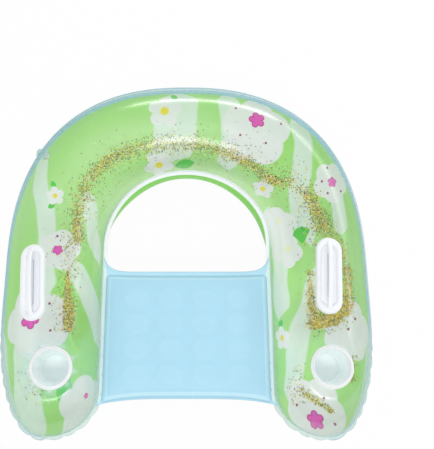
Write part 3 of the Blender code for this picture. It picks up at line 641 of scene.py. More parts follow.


# The printed film: wide wavy stripes in two greens under leaves, blossoms, dots and daisies. Each layer
# is painted over those before it; the paler part that the mesh carries, partly painted light on shaded
# flanks, comes first, and the deeper parts last.
def printMaterial():
    look = printLook
    material, tree, output = newMaterial("printed green film")
    place = node(tree, "UVMap", uv_map="printMap").outputs[0]
    parts = node(tree, "SeparateXYZ", {0: place})
    group = lobeGroup()

    # Noise over the flat sheet
    def noise(scale, detail):
        return node(tree, "TexNoise", {"Vector": place, "Scale": scale, "Detail": detail}).outputs[0]

    slow = noise(look["swayScale"], 1.0)
    sway = calc(tree, "MULTIPLY_ADD", slow, look["sway"], -look["sway"] / 2)
    patch = node(tree, "MapRange", {
        "Value": noise(look["patchScale"], 0.0), "From Min": 0.35, "From Max": 0.75,
        "To Max": look["patch"]}, clamp=True).outputs[0]
    colour = blendColour(tree, patch, look["deepGreen"], look["paleGreen"])

    # Lays a tone over the colour so far, where share is 1
    def paint(share, tone):
        nonlocal colour
        colour = blendColour(tree, share, colour, look[tone])

    # The five lobes about a place on the flat sheet
    def lobes(x, y, size, turn):
        made = tree.nodes.new("ShaderNodeGroup")
        made.node_tree = group
        tree.links.new(place, made.inputs["Place"])
        for name, value in (("X", x), ("Y", y), ("Size", size), ("Turn", turn)):
            made.inputs[name].default_value = value
        return made.outputs

    # Paler green, partly painted light where the film's steep flanks lie in shade
    paint(carried(tree, "fade"), "fadeGreen")
    for stripe in look["stripes"]:
        paint(stripeMask(tree, parts, sway, *stripe), "paleGreen")
    for leaf in look["leaves"]:
        paint(leafMask(tree, place, *leaf), "leaf")
    for blossom in look["blossoms"]:
        paint(edgeStep(tree, lobes(*blossom)["Broad"], 0.0, 0.02), "petal")
    for x, y in look["dots"]:
        away = lobes(x, y, look["dotSize"], 0.0)["Distance"]
        paint(edgeStep(tree, away, 1.25, 0.45), "halo")
        paint(edgeStep(tree, away, 0.72, 0.14), "dot")
    for heart in look["hearts"]:
        made = lobes(*heart)
        away = calc(tree, "MINIMUM", made["Slim"], calc(tree, "SUBTRACT", made["Distance"], 0.60))
        for limit, soft, tone in ((0.14, 0.08, "halo"), (0.0, 0.03, "heartEdge"),
                                  (-0.10, 0.05, "heart")):
            paint(edgeStep(tree, away, limit, soft), tone)
    for daisy in look["daisies"]:
        made = lobes(*daisy)
        paint(edgeStep(tree, made["Slim"], 0.0, 0.03), "petal")
        paint(edgeStep(tree, made["Distance"], 0.25, 0.05), "yellow")
    for x, y, size in look["pollen"]:
        away = lobes(x, y, size, 0.0)["Distance"]
        paint(calc(tree, "MULTIPLY", edgeStep(tree, away, 0.7, 0.4), 0.8), "paleYellow")
    paint(carried(tree, "under"), "underGreen")
    paint(carried(tree, "margin"), "margin")
    shader = node(tree, "BsdfPrincipled", {
        "Base Color": mottled(tree, colour, noise(look["mottleScale"], 3.0), 0.965, 1.035),
        "Roughness": 0.36, "Specular IOR Level": 0.30, "Normal": uneven(tree, slow, 0.2, 0.004)})
    tree.links.new(shader.outputs[0], output.inputs[0])
    return material


seamLook = {
    "inner": srgb(250, 255, 252),
    "tip": srgb(220, 235, 229),
    "outer": srgb(152, 211, 227),
    "cut": srgb(104, 146, 166),
    "skin": {"grain": 55.0, "detail": 2.0, "tone": (0.96, 1.03), "bump": (0.35, 0.002)},
}


# The weld flange: nearly white on the seat's side, a greyer mint at the arms' ends, blue outside, with
# a darker cut edge.
def seamMaterial():
    look = seamLook
    material, tree, output = newMaterial("welded seam")
    colour = blendColour(tree, carried(tree, "tipShare"), look["inner"], look["tip"])
    colour = blendColour(tree, carried(tree, "blueShare"), colour, look["outer"])
    colour = blendColour(tree, carried(tree, "cutEdge"), colour, look["cut"])
    skinSurface(tree, output, colour, look["skin"], **{"Roughness": 0.55, "Specular IOR Level": 0.08})
    return material


seatLook = {
    "film": srgb(176, 222, 242),
    # Painted light: the paler blue laid on painted highlights, pad tops and the front edge
    "glow": srgb(196, 236, 250),
    "line": srgb(126, 172, 192),
    "mint": srgb(228, 248, 242),
    "skin": {"grain": 24.0, "detail": 3.0, "tone": (0.975, 1.025), "bump": (0.25, 0.0012)},
}


# The seat's film: a light blue, painted paler as painted light where the mesh carries its share: a
# painted highlight line where the pad stands up from its weld, lit tops on the round pads, and a lit
# front edge and border; a darker line where film and weld meet.
def seatMaterial():
    look = seatLook
    material, tree, output = newMaterial("light blue film")
    colour = blendColour(tree, carried(tree, "edgeGlow"), look["film"], look["glow"])
    colour = blendColour(tree, carried(tree, "mintShare"), colour, look["mint"])
    colour = blendColour(tree, carried(tree, "weldLine"), colour, look["line"])
    skinSurface(tree, output, colour, look["skin"], **{"Roughness": 0.45, "Specular IOR Level": 0.30})
    return material


# Painted shade for a handle's hollow floor, and a painted shadow line beside its grip bar
mouldingLook = {
    "well": srgb(238, 242, 248),
    "slot": srgb(192, 190, 202),
}


# A moulded or pressed surface: one colour with a faint drift and a fine uneven skin; where the hollow's
# attribute is set, a greyer painted shade, and where slot is, a dark painted shadow line.
def plainMaterial(name, colour, grain, depth, **inputs):
    material, tree, output = newMaterial(name)
    tone = blendColour(tree, carried(tree, "well"), colour, mouldingLook["well"])
    tone = blendColour(tree, carried(tree, "slot"), tone, mouldingLook["slot"])
    skin = {"grain": grain, "detail": 3.0, "tone": (0.96, 1.03), "bump": (0.3, depth)}
    skinSurface(tree, output, tone, skin, **inputs)
    return material


# Frosted cup film: white, lit from both of its sides, a little see-through, and with a faint emitted
# glow that is painted light in the cup.
def potMaterial(name, litShare, openShare, glow):
    material, tree, output = newMaterial(name)
    skin = objectNoise(tree, 26.0, 2.0)
    base = mottled(tree, srgb(250, 253, 254), skin, 0.93, 1.0)
    # The emission is painted light: it brightens the cup's walls and floor, which are no lamp
    front = node(tree, "BsdfPrincipled", {
        "Base Color": base, "Roughness": 0.28, "Normal": uneven(tree, skin, 0.3, 0.002),
        "Emission Color": srgb(206, 232, 232), "Emission Strength": glow})
    lit = node(tree, "BsdfTranslucent", {"Color": base})
    through = node(tree, "BsdfTransparent", {"Color": (1, 1, 1, 1)})
    film = blendShader(tree, litShare, front.outputs[0], lit.outputs[0])
    tree.links.new(blendShader(tree, openShare, film, through.outputs[0]), output.inputs[0])
    return material


# Flakes in golds and yellows with some olive and green ones, and white ones that are painted glints, by
# each flake's own value. They are hardly metallic, so that they keep their colour from every side.
def glitterMaterial():
    material, tree, output = newMaterial("gold glitter")
    ramp = tree.nodes.new("ShaderNodeValToRGB")
    ramp.color_ramp.interpolation = "CONSTANT"
    # The near-white stop is painted glints
    stops = ((0.0, (230, 178, 40)), (0.22, (255, 214, 48)), (0.44, (255, 250, 126)),
             (0.58, (96, 98, 48)), (0.76, (255, 255, 240)), (0.85, (150, 164, 70)))
    while len(ramp.color_ramp.elements) < len(stops):
        ramp.color_ramp.elements.new(0.5)
    for element, (position, colour) in zip(ramp.color_ramp.elements, stops):
        element.position = position
        element.color = srgb(*colour)
    tree.links.new(carried(tree, "hue"), ramp.inputs[0])
    shader = node(tree, "BsdfPrincipled", {"Base Color": ramp.outputs[0], "Roughness": 0.38,
                                           "Metallic": 0.05})
    tree.links.new(shader.outputs[0], output.inputs[0])
    return material


materials = {
    "clear": clearFilmMaterial(),
    "print": printMaterial(),
    "seam": seamMaterial(),
    "seat": seatMaterial(),
    "white": plainMaterial("white soft moulding", srgb(245, 248, 251), 60.0, 0.0004, Roughness=0.34),
    "rim": plainMaterial("white cup rim", srgb(243, 245, 246), 60.0, 0.0004, Roughness=0.30),
    # The last number is the strength of the pot's and floor's painted emitted light
    "pot": potMaterial("frosted cup film", 0.42, 0.10, 0.15),
    "disc": potMaterial("frosted cup floor", 0.10, 0.04, 0.10),
    "valve": plainMaterial("clear soft valve", srgb(234, 250, 247), 40.0, 0.0003, Roughness=0.20,
                           Alpha=0.55),
    "glitter": glitterMaterial(),
}
print("stage: materials made")


# Tube films


# Each valve's stand from its joints: the way out is against the push, +X is to the strap.
def valveFrames():
    found = {}
    for joint in frame["joints"]:
        name = joint["name"]
        if name.endswith("_push_in"):
            key = name.replace("_valve_push_in", "")
            found[key] = {"origin": np.array(joint["pos_m"]), "out": -np.array(joint["axis"])}
    for joint in frame["joints"]:
        if joint["name"].endswith("_plug_hinge"):
            key = joint["name"].replace("_valve_plug_hinge", "")
            side = np.array(joint["axis"])
            found[key]["side"] = side
            found[key]["strap"] = np.cross(side, found[key]["out"])
    return found


valves = valveFrames()


# Marks on the tube's films. Frost is a share of milkiness and of painted light; haze a share of
# milkiness; fade is a share of a paler print tone, partly painted light; under and margin are shares of
# the print's other tones.
filmMarks = {
    "cupHole": 0.0505,
    "valveHole": 0.0095,
    "frost": 0.55,
    "frostAngle": 0.16,
    "sideHaze": 0.26,
    "backHaze": 0.74,
    "fade": 0.62,
    "armFade": 0.60,
    "margin": 0.90,
    "tipMargin": 0.025,
}


# The clear upper film. Frost, with its painted light over the weld's shaded crease, falls off with the
# square of the angle from the weld, as strong as the puckers; round each cup it is painted highlights
# on the folds and falls off with the distance from the rim; the rim's haze is full round the back's
# outer side.
def topFilm():
    marks = filmMarks
    x, y, z, normal, angle, _ = tubeGrid(True, tube["topRows"])
    x, y, z = puckerFilm(x, y, z, normal, angle)
    z = creaseRoundCups(x, y, settleOnCups(x, y, z))
    points = toFrame(x, y, z).reshape(-1, 3)
    faces = gridFaces(tube["stations"], tube["topRows"])
    frost = puckerDepth()[:, None] / puckers["tipDepth"] * np.exp(
        -((np.minimum(np.abs(angle), np.pi - angle) / marks["frostAngle"]) ** 2)) * marks["frost"]
    for name in ("left", "right"):
        away, _, wave = roundCup(name, x, y)
        frost = frost + cups["frost"] * (0.3 + 0.7 * (0.5 + 0.5 * wave) ** 2) * np.exp(
            -np.clip(away, 0, 1) / cups["frostReach"]) * smooth(2 - steps % 3)[:, None]
    back = smooth((steps - 2.05) / 0.5) * (1 - smooth((steps - 3.45) / 0.5))
    haze = marks["sideHaze"] + marks["backHaze"] * back[:, None] * (1 - smooth((angle - 1.2) / 0.5))
    for name in ("left", "right"):
        cupX, cupY, height, lean = cupPlace(name)
        axis = (np.sin(lean), 0, np.cos(lean))
        points, faces = cutRound(points, faces, toFrame(cupX, cupY, height), marks["cupHole"], axis)
    points, faces, frost, haze = dropUnused(points, faces, frost.reshape(-1), haze.reshape(-1))
    film = makeMesh("clear_top_film", points, faces, materials["clear"],
                    values={"frost": frost, "rimHaze": haze})
    addWall(film, tube["filmThickness"])
    dress(film, "chair", "clear_film", "tube_top_film")


# The printed lower film. It swells in a bell curve beside its inner weld, most away from the middle of
# the back, and lies flat on the floor. Lean is the angle from the bottom towards the inner weld, in
# degrees: the print is painted paler on the inner flank of the back and in the arms' inner crease, as
# painted light where the steep film lies in shade, and is paler print at the back's upper left; it is
# deepest under the hole's weld.
def bottomFilm():
    marks = filmMarks
    x, y, z, normal, angle, flat = tubeGrid(False, tube["bottomRows"])
    x, y, z = puckerFilm(x, y, z, normal, angle)
    run = steps[:, None]
    lift = ribLift[:, None] / tube["seamLift"]
    bulge = tube["holeSwell"] + (tube["sideSwell"] - tube["holeSwell"]) * smooth(np.abs(run - 3) / 0.6)
    swell = bulge * lift ** 0.4 * np.exp(-(((angle + np.radians(170)) / np.radians(24)) ** 2))
    x, y, z = x + swell * normal[..., 0], y + swell * normal[..., 1], z + swell * normal[..., 2]
    z = np.maximum(z, -tube["seamZ"])
    points = toFrame(x, y, z).reshape(-1, 3)
    faces = gridFaces(tube["stations"], tube["bottomRows"])
    fromEdge = np.minimum(np.abs(angle), np.abs(np.pi + angle)) * tube["halfWidth"]
    tip = 1 - smooth((np.minimum(run, 6 - run) - 1.0) / 0.25)
    margin = (1 - smooth((fromEdge - marks["tipMargin"] * tip) / 0.003)) * marks["margin"] * smooth(
        tip * 3)
    lean = -np.degrees(angle) - 90
    # Paler print: on the back's inner flank and the arms' inner crease it is painted light where the
    # steep film lies in shade; at the back's upper left it is paler print
    fade = marks["fade"] * smooth((lean - 6) / 22) * (1 - smooth((lean - 50) / 14)) * smooth(
        (run - 2.15) / 0.3) * (1 - smooth((run - 3.5) / 0.3))
    fade = fade + marks["fade"] * np.exp(-(((run - 2.65) / 0.42) ** 2) - ((lean + 34) / 38) ** 2)
    onArms = np.clip(1 - lift * 3, 0, 1) * smooth(run) * smooth(6 - run)
    fade = np.clip(fade + marks["armFade"] * smooth((lean - 64) / 14) * onArms, 0, 1)
    under = smooth((lean - 60) / 8) * (1 - onArms)
    points, faces = cutRound(points, faces, valves["tube"]["origin"], marks["valveHole"],
                             valves["tube"]["out"])
    points, faces, uv, margin, fade, under = dropUnused(
        points, faces, flat.reshape(-1, 2), margin.reshape(-1), fade.reshape(-1), under.reshape(-1))
    film = makeMesh("printed_bottom_film", points, faces, materials["print"], uv=uv,
                    values={"margin": margin, "fade": fade, "under": under})
    addWall(film, tube["filmThickness"])
    dress(film, "chair", "printed_film", "tube_bottom_film")


seam = {
    "around": 1500,
    "thickness": 0.0006,
    "width": 0.010,
    "lap": 0.002,
    "holeLap": 0.005,
    "lobe": 0.045,
    "scallop": 0.55,
    "rightNarrow": 0.66,
    "leftNarrow": 0.36,
    "tipWave": 0.0022,
    "wave": 0.0004,
}


# A thin flange along the closed weld line: narrower down the arms' outer sides, laid back on the film
# round the hole, in round lobes between pinches at the arms' ends, where it waves up and down.
def weldSeam():
    count = seam["around"]
    fine = tube["fineSteps"]
    outer, inner, _, lift = ribAt(np.linspace(0, 6, fine))
    line = np.concatenate([np.column_stack([outer, np.zeros(len(outer))]),
                           np.column_stack([inner, lift])[-2:0:-1]])
    closed = np.vstack([line, line[:1]])
    run = np.concatenate([[0], np.cumsum(np.linalg.norm(np.diff(closed, axis=0), axis=1))])
    at = np.linspace(0, run[-1], count, endpoint=False)
    middle = np.stack([np.interp(at, run, closed[:, k]) for k in range(3)], -1)
    forward = np.roll(middle, -2, axis=0) - np.roll(middle, 2, axis=0)
    out = np.stack([-forward[:, 1], forward[:, 0]], -1)
    out /= np.linalg.norm(out, axis=1, keepdims=True)
    tipNear = 1 - smooth((middle[:, 1] + 0.30) / 0.18)
    ends = [0, run[fine - 1] * 0.999, run[fine], run[-1]]
    isOuter = np.clip(np.interp(at, ends, [1, 1, 0, 0]), 0, 1)
    lobes = np.abs(np.sin(np.pi * (at + 0.006 * np.sin(at * 37)) / seam["lobe"])) ** 0.6
    hole = middle[:, 2] / tube["seamLift"] * (1 - isOuter)
    flank = isOuter * (1 - smooth((middle[:, 1] - 0.10) / 0.36)) * (1 - tipNear)
    narrow = np.where(middle[:, 0] > 0, seam["rightNarrow"], seam["leftNarrow"]) * flank
    across = np.linspace(0, 1, 11)
    start = -seam["lap"] - seam["holeLap"] * hole
    end = seam["width"] * (1 - narrow) * (1 - seam["scallop"] * tipNear * (1 - lobes)) - 0.002 * hole
    reach = start[:, None] + (end - start)[:, None] * across[None, :]
    wave = (seam["tipWave"] * tipNear + seam["wave"])[:, None] * across[None, :] ** 1.5 * gather(
        at * 1.2 + 0.1, puckers["tipWave"])[:, None]
    x = middle[:, 0, None] + out[:, 0, None] * reach
    y = middle[:, 1, None] + out[:, 1, None] * reach
    points = toFrame(x, y, middle[:, 2, None] + wave)
    blue = np.repeat(isOuter * (1 - 0.85 * tipNear), len(across))
    cut = (isOuter * (0.85 - 0.5 * tipNear) + (1 - isOuter) * 0.08 + 0.12 * tipNear)[:, None] * smooth(
        (across[None, :] - 0.80) / 0.12)
    thing = makeMesh("weld_flange", points.reshape(-1, 3), gridFaces(count, len(across), True),
                     materials["seam"], values={"blueShare": blue, "cutEdge": cut,
                                                "tipShare": np.repeat(tipNear, len(across))})
    addWall(thing, seam["thickness"], 0)
    dress(thing, "chair", "weld_seam", "tube_weld_seam")


# Seat

seat = {
    "backEdge": -0.024,
    "frontEdge": -0.381,
    "backFillet": 0.042,
    "filletPower": 13,
    "frontHollow": 0.017,
    "lap": 0.0085,
    "seamWidth": 0.010,
    "border": 0.015,
    "rise": 0.026,
    "drop": 0.024,
    "plane": 0.0011,
    "bossRise": 0.0016,
    "sideBorder": 0.0095,
    "cornerShare": 0.05,
    "flatness": 6.0,
    "gather": 0.0007,
    # Painted light: the share of a highlight line inside the pad's edge, and of lighter tops on the
    # round pads
    "glow": 0.8,
    "bossGlow": 0.12,
    "bossLength": 0.084,
    "bossDepth": 0.066,
    "pitchX": 0.097,
    "pitchY": 0.070,
    "bedRadius": 0.0165,
    "bedBlend": 0.028,
    "stemHole": 0.0078,
    "gatherWave": 0.023,
    "topGrid": (240, 190),
    "underGrid": (120, 96),
    # The welded border: points along each edge and across, its start on the pad, its fine crease
    "borderSteps": 200,
    "borderRows": 15,
    "borderStart": 0.975,
    "crease": 0.00035,
}


# The inner weld line's place at y: straight along the arm, then a quarter of an ellipse round its end.
def armInner(y):
    start = tube["tipInner"] - tube["armReach"]
    into = np.clip((start - y) / tube["tipInner"], 0, 1)
    return tube["armCentre"] - tube["halfWidth"] * np.sqrt(1 - into * into)


# Places over the pad: u and v run from -1 to 1; the edges bow in at the front.
def seatPad(u, v):
    back = seat["backEdge"] - seat["border"] + seat["border"] / 3 * np.abs(u) ** 4
    front = seat["frontEdge"] + seat["border"] / 2 - seat["frontHollow"] * np.abs(u) ** 4
    y = front + (back - front) * (v + 1) / 2
    return u * (armInner(y) - seat["seamWidth"] + seat["lap"] - seat["sideBorder"]), y


# The same for the whole seat with its border: at the corners the back edge runs on by a high power of
# u, and the front edge by the fourth.
def seatEdge(u, v):
    back = seat["backEdge"] + seat["backFillet"] * np.abs(u) ** seat["filletPower"]
    front = seat["frontEdge"] - seat["frontHollow"] * np.abs(u) ** 4
    y = front + (back - front) * (v + 1) / 2
    return u * (armInner(y) - seat["seamWidth"] + seat["lap"]), y


# Sixteen round pads in four rows: each is a low button with a level top and a short soft shoulder.
def bosses(x, y):
    middleY = (seat["backEdge"] + seat["frontEdge"]) / 2 - seat["pitchY"] / 8
    rise = np.zeros_like(x)
    for row in range(4):
        for column in range(4):
            awayX = (x - (column - 1.5) * seat["pitchX"]) / seat["bossLength"]
            awayY = (y - middleY - (row - 1.5) * seat["pitchY"]) / seat["bossDepth"]
            rise = rise + seat["bossRise"] * (1 - smooth((np.hypot(awayX, awayY) * 2 - 0.70) / 0.30))
    return rise


# The lower film lies flat under the valve's base, one film's thickness in from the valve's own plane,
# blends into the swell round it, and has the stem's hole.
def valveBed(points, faces, *values):
    origin, out = valves["seat"]["origin"], valves["seat"]["out"]
    rel = points - origin
    level = origin[2] - (rel[:, 0] * out[0] + rel[:, 1] * out[1]) / out[2]
    level = level - tube["filmThickness"] * out[2]
    near = 1 - smooth((np.hypot(rel[:, 0], rel[:, 1]) - seat["bedRadius"]) / seat["bedBlend"])
    points[:, 2] += (level - points[:, 2]) * near
    points, faces = cutRound(points, faces, origin, seat["stemHole"], out)
    return dropUnused(points, faces, *values)


# Two films welded round the pad. The swell is the product of two flat-topped curves, rounded off near
# the weld, and the film gathers along its edges in short folds.
def seatFilms():
    for name, grid, side in (("seat_pad_top", "topGrid", 1), ("seat_pad_under", "underGrid", -1)):
        columns, rows = seat[grid]
        u, v = np.meshgrid(np.sin(np.pi / 2 * np.linspace(-1, 1, columns)),
                           np.sin(np.pi / 2 * np.linspace(-1, 1, rows)))
        corner = seat["cornerShare"]
        overU, overV = np.clip(np.abs(u) - 1 + corner, 0, 1), np.clip(np.abs(v) - 1 + corner, 0, 1)
        inset = np.where((overU > 0) & (overV > 0), np.hypot(overU, overV) / np.maximum(
            np.maximum(overU, overV), 1e-9), 1.0)
        pull = 1 - corner + corner / inset
        bigger = np.maximum(np.abs(u), np.abs(v))
        scale = np.where(bigger > 1 - corner,
                         1 + (pull - 1) * smooth((bigger - 1 + corner) / corner), 1)
        x, y = seatPad(u * scale, v * scale)
        edge = 1 - bigger
        swell = np.clip((1 - np.abs(u) ** seat["flatness"]) * (1 - np.abs(v) ** seat["flatness"]),
                        0, 1) ** 0.5
        gathers = np.exp(-((edge / 0.07) ** 2)) * np.where(
            np.abs(v) > np.abs(u), gather(x + 0.3, seat["gatherWave"]),
            gather(y + 0.1, seat["gatherWave"]))
        if side > 0:
            z = (seat["rise"] + bosses(x, y)) * swell + seat["gather"] * gathers * swell
        else:
            z = (seat["drop"] + seat["gather"] * gathers) * swell
        z = side * (z + tube["filmGap"]) + seat["plane"]
        # Painted light: a highlight line just inside the edge, lighter tops on the round pads, and a
        # lighter front edge where the pad curves down into shade
        glow = np.exp(-(((edge - 0.050) / 0.016) ** 2)) * seat["glow"]
        glow = glow + seat["bossGlow"] * bosses(x, y) / seat["bossRise"]
        front = (v < 0) & (np.abs(v) >= np.abs(u))
        glow = glow + 0.9 * (1 - smooth((edge - 0.04) / 0.05)) * front
        line = (1 - smooth(edge / 0.009)) * 0.55
        points, faces = toFrame(x, y, z).reshape(-1, 3), gridFaces(rows, columns)
        glow, line = glow.reshape(-1), line.reshape(-1)
        if side < 0:
            points, faces, glow, line = valveBed(points, faces, glow, line)
        thing = makeMesh(name, points, faces, materials["seat"], flip=side < 0,
                         values={"edgeGlow": glow, "weldLine": line, "mintShare": 0 * glow})
        addWall(thing, tube["filmThickness"], 1)
        dress(thing, "chair", "seat_film", "seat_top_film" if side > 0 else "seat_bottom_film")


# The flat welded border: a closed band between the pad and the tube's inner flange, blue at the back
# and the front, minty at the sides where it is welded to the flange, and painted paler all over as
# painted light.
def seatBorder():
    s = np.sin(np.pi / 2 * np.linspace(-1, 1, seat["borderSteps"], endpoint=False))
    one = np.ones(len(s))
    u = np.concatenate([s, one, -s, -one])
    v = np.concatenate([-one, s, one, -s])
    padX, padY = seatPad(u * seat["borderStart"], v * seat["borderStart"])
    edgeX, edgeY = seatEdge(u, v)
    share = np.linspace(0, 1, seat["borderRows"])
    x = padX[:, None] + (edgeX - padX)[:, None] * share
    y = padY[:, None] + (edgeY - padY)[:, None] * share
    crease = seat["crease"] * np.sin(np.pi * share * 3)[None, :] * np.ones((len(u), 1))
    points = toFrame(x, y, seat["plane"] + crease)
    level = np.abs(v)[:, None] * np.ones_like(share)
    mint = (np.abs(u) > 0.999)[:, None] * (1 - smooth((level - 0.94) / 0.05)) * 0.9
    endLine = smooth((share[None, :] - 0.90) / 0.06) * (np.abs(v) > 0.999)[:, None] * 0.7
    # Painted light: the whole band carries a 0.6 share of the paler painted-light blue
    thing = makeMesh("seat_weld_band", points.reshape(-1, 3), gridFaces(len(u), len(share), True),
                     materials["seat"], values={"edgeGlow": np.full(x.size, 0.6), "weldLine": endLine,
                                                "mintShare": mint})
    addWall(thing, seam["thickness"], 0)
    dress(thing, "chair", "seat_film", "seat_weld_border")


# Fittings

# The smallest radius in a turned profile, so that its middle is as good as closed
poleRadius = 0.00002


# A closed profile of radius and height turned about Z; fold may change the radius by angle.
def spin(profile, around=96, fold=None):
    profile = np.asarray(profile, float)
    turn = np.linspace(0, 2 * np.pi, around, endpoint=False)
    radius = np.repeat(profile[:, 0][:, None], around, axis=1)
    height = np.repeat(profile[:, 1][:, None], around, axis=1)
    if fold is not None:
        radius = fold(radius, height, turn[None, :])
    points = np.stack([radius * np.cos(turn), radius * np.sin(turn), height], -1)
    return points.reshape(-1, 3), gridFaces(len(profile), around, True, True)


# Cuts a profile's corners a few times over, each new point a fifth along its side.
def rounded(corners, rounds=3, closed=True):
    points = np.asarray(corners, float)
    for _ in range(rounds):
        after = np.roll(points, -1, axis=0)
        fresh = np.stack([points * 0.8 + after * 0.2, points * 0.2 + after * 0.8], 1).reshape(-1, 2)
        if not closed:
            fresh = np.vstack([points[:1], fresh[1:-2], points[-1:]])
        points = fresh
    return points


# From a fitting's own axes to the frame.
def placeAt(points, origin, xAxis, yAxis, zAxis):
    return origin + points @ np.stack([xAxis, yAxis, zAxis])


# Rim bead, lip and folded pot, and the round floor, turned about the cup's own axis.
def cupPieces(name):
    x, y, height, lean = cupPlace(name)
    axes = ((np.cos(lean), 0, -np.sin(lean)), (0, 1, 0), (np.sin(lean), 0, np.cos(lean)))
    mouth, gap, film = cups["mouth"], cups["gap"], tube["filmThickness"]
    depth, floor = cups["depth"], cups["floorRadius"]
    low, under = 2 * gap + film, -depth - gap

    def add(piece, profile, around, look, slotName, cad, fold=None):
        points, faces = spin(profile, around, fold)
        thing = makeMesh(name + piece, placeAt(points, toFrame(x, y, height), *axes), faces,
                         materials[look], flip=True)
        dress(thing, "chair", slotName, name + cad)

    # The pot's folds: seven and eleven waves round it, deepest halfway down
    def fold(radius, level, turn):
        down = np.clip(-level / depth, 0, 1)
        deep = cups["foldDepth"] * np.sin(np.pi * np.clip(down * 1.02, 0, 1)) ** 0.8
        ripple = 0.60 * np.sin(turn * 7 + 0.4 + 0.5 * down) + 0.35 * np.sin(turn * 11 + 1.3)
        return radius - deep * (0.9 + ripple)

    bead = rounded([(mouth + r, low + h) for r, h in cups["bead"]], 2)
    down = np.linspace(0, 1, 40)
    wall = mouth + 0.0002 + (floor - mouth) * down
    inside = np.stack([wall, low - gap - (depth + low - gap) * down], -1)
    outside = np.stack([wall + film, gap - (depth + gap) * down], -1)
    lip = mouth + cups["lipWidth"]
    pot = np.vstack([inside[::-1], [[lip, low - gap], [lip, gap]], outside])
    edge, around = floor + cups["floorLap"], cups["around"]
    disc = rounded([(0.00001, under - film), (edge, under - film), (edge, under),
                    (floor - 0.004, under), (floor - 0.0055, under), (0.00001, under)], 1)
    disc[:, 0] = np.maximum(disc[:, 0], poleRadius)
    add("_cup_ring", bead, around, "rim", "cup_rim", "_cup_rim")
    add("_cup_pot", pot, around, "pot", "cup_film", "_cup_liner", fold)
    add("_cup_disc", disc, cups["floorAround"], "disc", "cup_film", "_cup_floor")


handles = {
    "left": {"side": -1, "shift": 0.028, "along": -0.077},
    "right": {"side": 1, "shift": -0.002, "along": -0.059},
    "length": 0.208,
    "width": 0.071,
    "rimWidth": 0.0165,
    "endShare": 1.35,
    "rimHeight": 0.0105,
    "floor": 0.0014,
    "toe": np.radians(3.5),
    "gripWidth": 0.011,
    "gripThickness": 0.008,
    "gripRise": 0.0160,
    "gap": 0.0003,
    # Rings of the well's floor, by distance from its middle line; a painted dark shadow line runs along
    # two of them
    "slot": (0.0100, 0.0050, 0.0034, 0.0016, 0.0006),
    # The rim's section, as shares of its width and height
    "section": ((0.0, 0.0), (0.0, 0.16), (0.09, 0.34), (0.16, 0.80), (0.38, 1.0), (0.72, 0.96),
                (0.92, 0.62)),
    "around": 220,
    "gripAround": 28,
    "gripRows": 80,
}


# Lays a handle's own places on the arm's round top.
def onArm(name, across, along, up):
    place = handles[name]
    toe = handles["toe"]
    turnedAcross = across * np.cos(toe) + along * np.sin(toe)
    turnedAlong = along * np.cos(toe) - across * np.sin(toe)
    halfWidth, halfHeight = tube["halfWidth"], tube["halfHeight"]
    tilt = np.arcsin(place["shift"] / halfWidth) + turnedAcross / halfWidth
    leanX, leanZ = np.sin(tilt) / halfWidth, np.cos(tilt) / halfHeight
    size = np.hypot(leanX, leanZ)
    out = halfWidth * np.sin(tilt) + leanX / size * (up + handles["gap"])
    height = halfHeight * np.cos(tilt) + leanZ / size * (up + handles["gap"])
    return toFrame(place["side"] * (tube["armCentre"] + out), place["along"] + turnedAlong, height)


# Evenly spaced points of a slot outline: a straight side and a half-round end, then the same turned
# about the middle.
def stadiumRing(halfWidth, halfLength, count):
    straight = 2 * (halfLength - halfWidth)
    at = np.linspace(0, straight + np.pi * halfWidth, count // 2, endpoint=False)
    angle = np.maximum(at - straight, 0) / max(halfWidth, 1e-9)
    x = halfWidth * np.cos(angle)
    y = np.minimum(at, straight) - straight / 2 + halfWidth * np.sin(angle)
    return np.concatenate([x, -x]), np.concatenate([y, -y])


# The rim's section carried round a slot outline, with the well's floor across it.
def handlePiece(name):
    halfWidth, halfLength = handles["width"] / 2, handles["length"] / 2
    rim, high, floor = handles["rimWidth"], handles["rimHeight"], handles["floor"]
    around, flip = handles["around"], handles[name]["side"] > 0
    section = rounded([(rim * a, high * b) for a, b in handles["section"]] + [(rim, floor)], 2,
                      closed=False)
    levels = [(halfWidth, 0.0), (halfWidth * 0.70, 0.0), (halfWidth * 0.35, 0.0)]
    levels += [tuple(pair) for pair in section]
    slot = halfWidth - np.array(handles["slot"])
    levels += [(rim * 1.12, floor)] + [(inset, floor) for inset in slot] + [(halfWidth, floor)]
    rings, wellShades, slotShadows = [], [], []
    for index, (inset, up) in enumerate(levels):
        across, along = stadiumRing(halfWidth - inset, halfLength - inset * handles["endShare"], around)
        rings.append(onArm(name, across, along, np.full(across.shape, up)))
        fromEnd = len(levels) - index
        # Painted shade on the hollow's floor rings, and a painted shadow line along one side beside the
        # grip bar
        wellShades.append(np.full(around, float(fromEnd < 7)))
        slotShadows.append((across < 0) * (np.abs(along) < halfLength * 0.72) * (1.0 * (fromEnd in (3, 4))))
    moulding = makeMesh(name + "_handle_moulding", np.stack(rings).reshape(-1, 3),
                        gridFaces(len(levels), around, False, True), materials["white"], flip=flip,
                        values={"well": np.concatenate(wellShades), "slot": np.concatenate(slotShadows)})
    weldDoubles(moulding)
    dress(moulding, "chair", "white_moulding", name + "_handle")


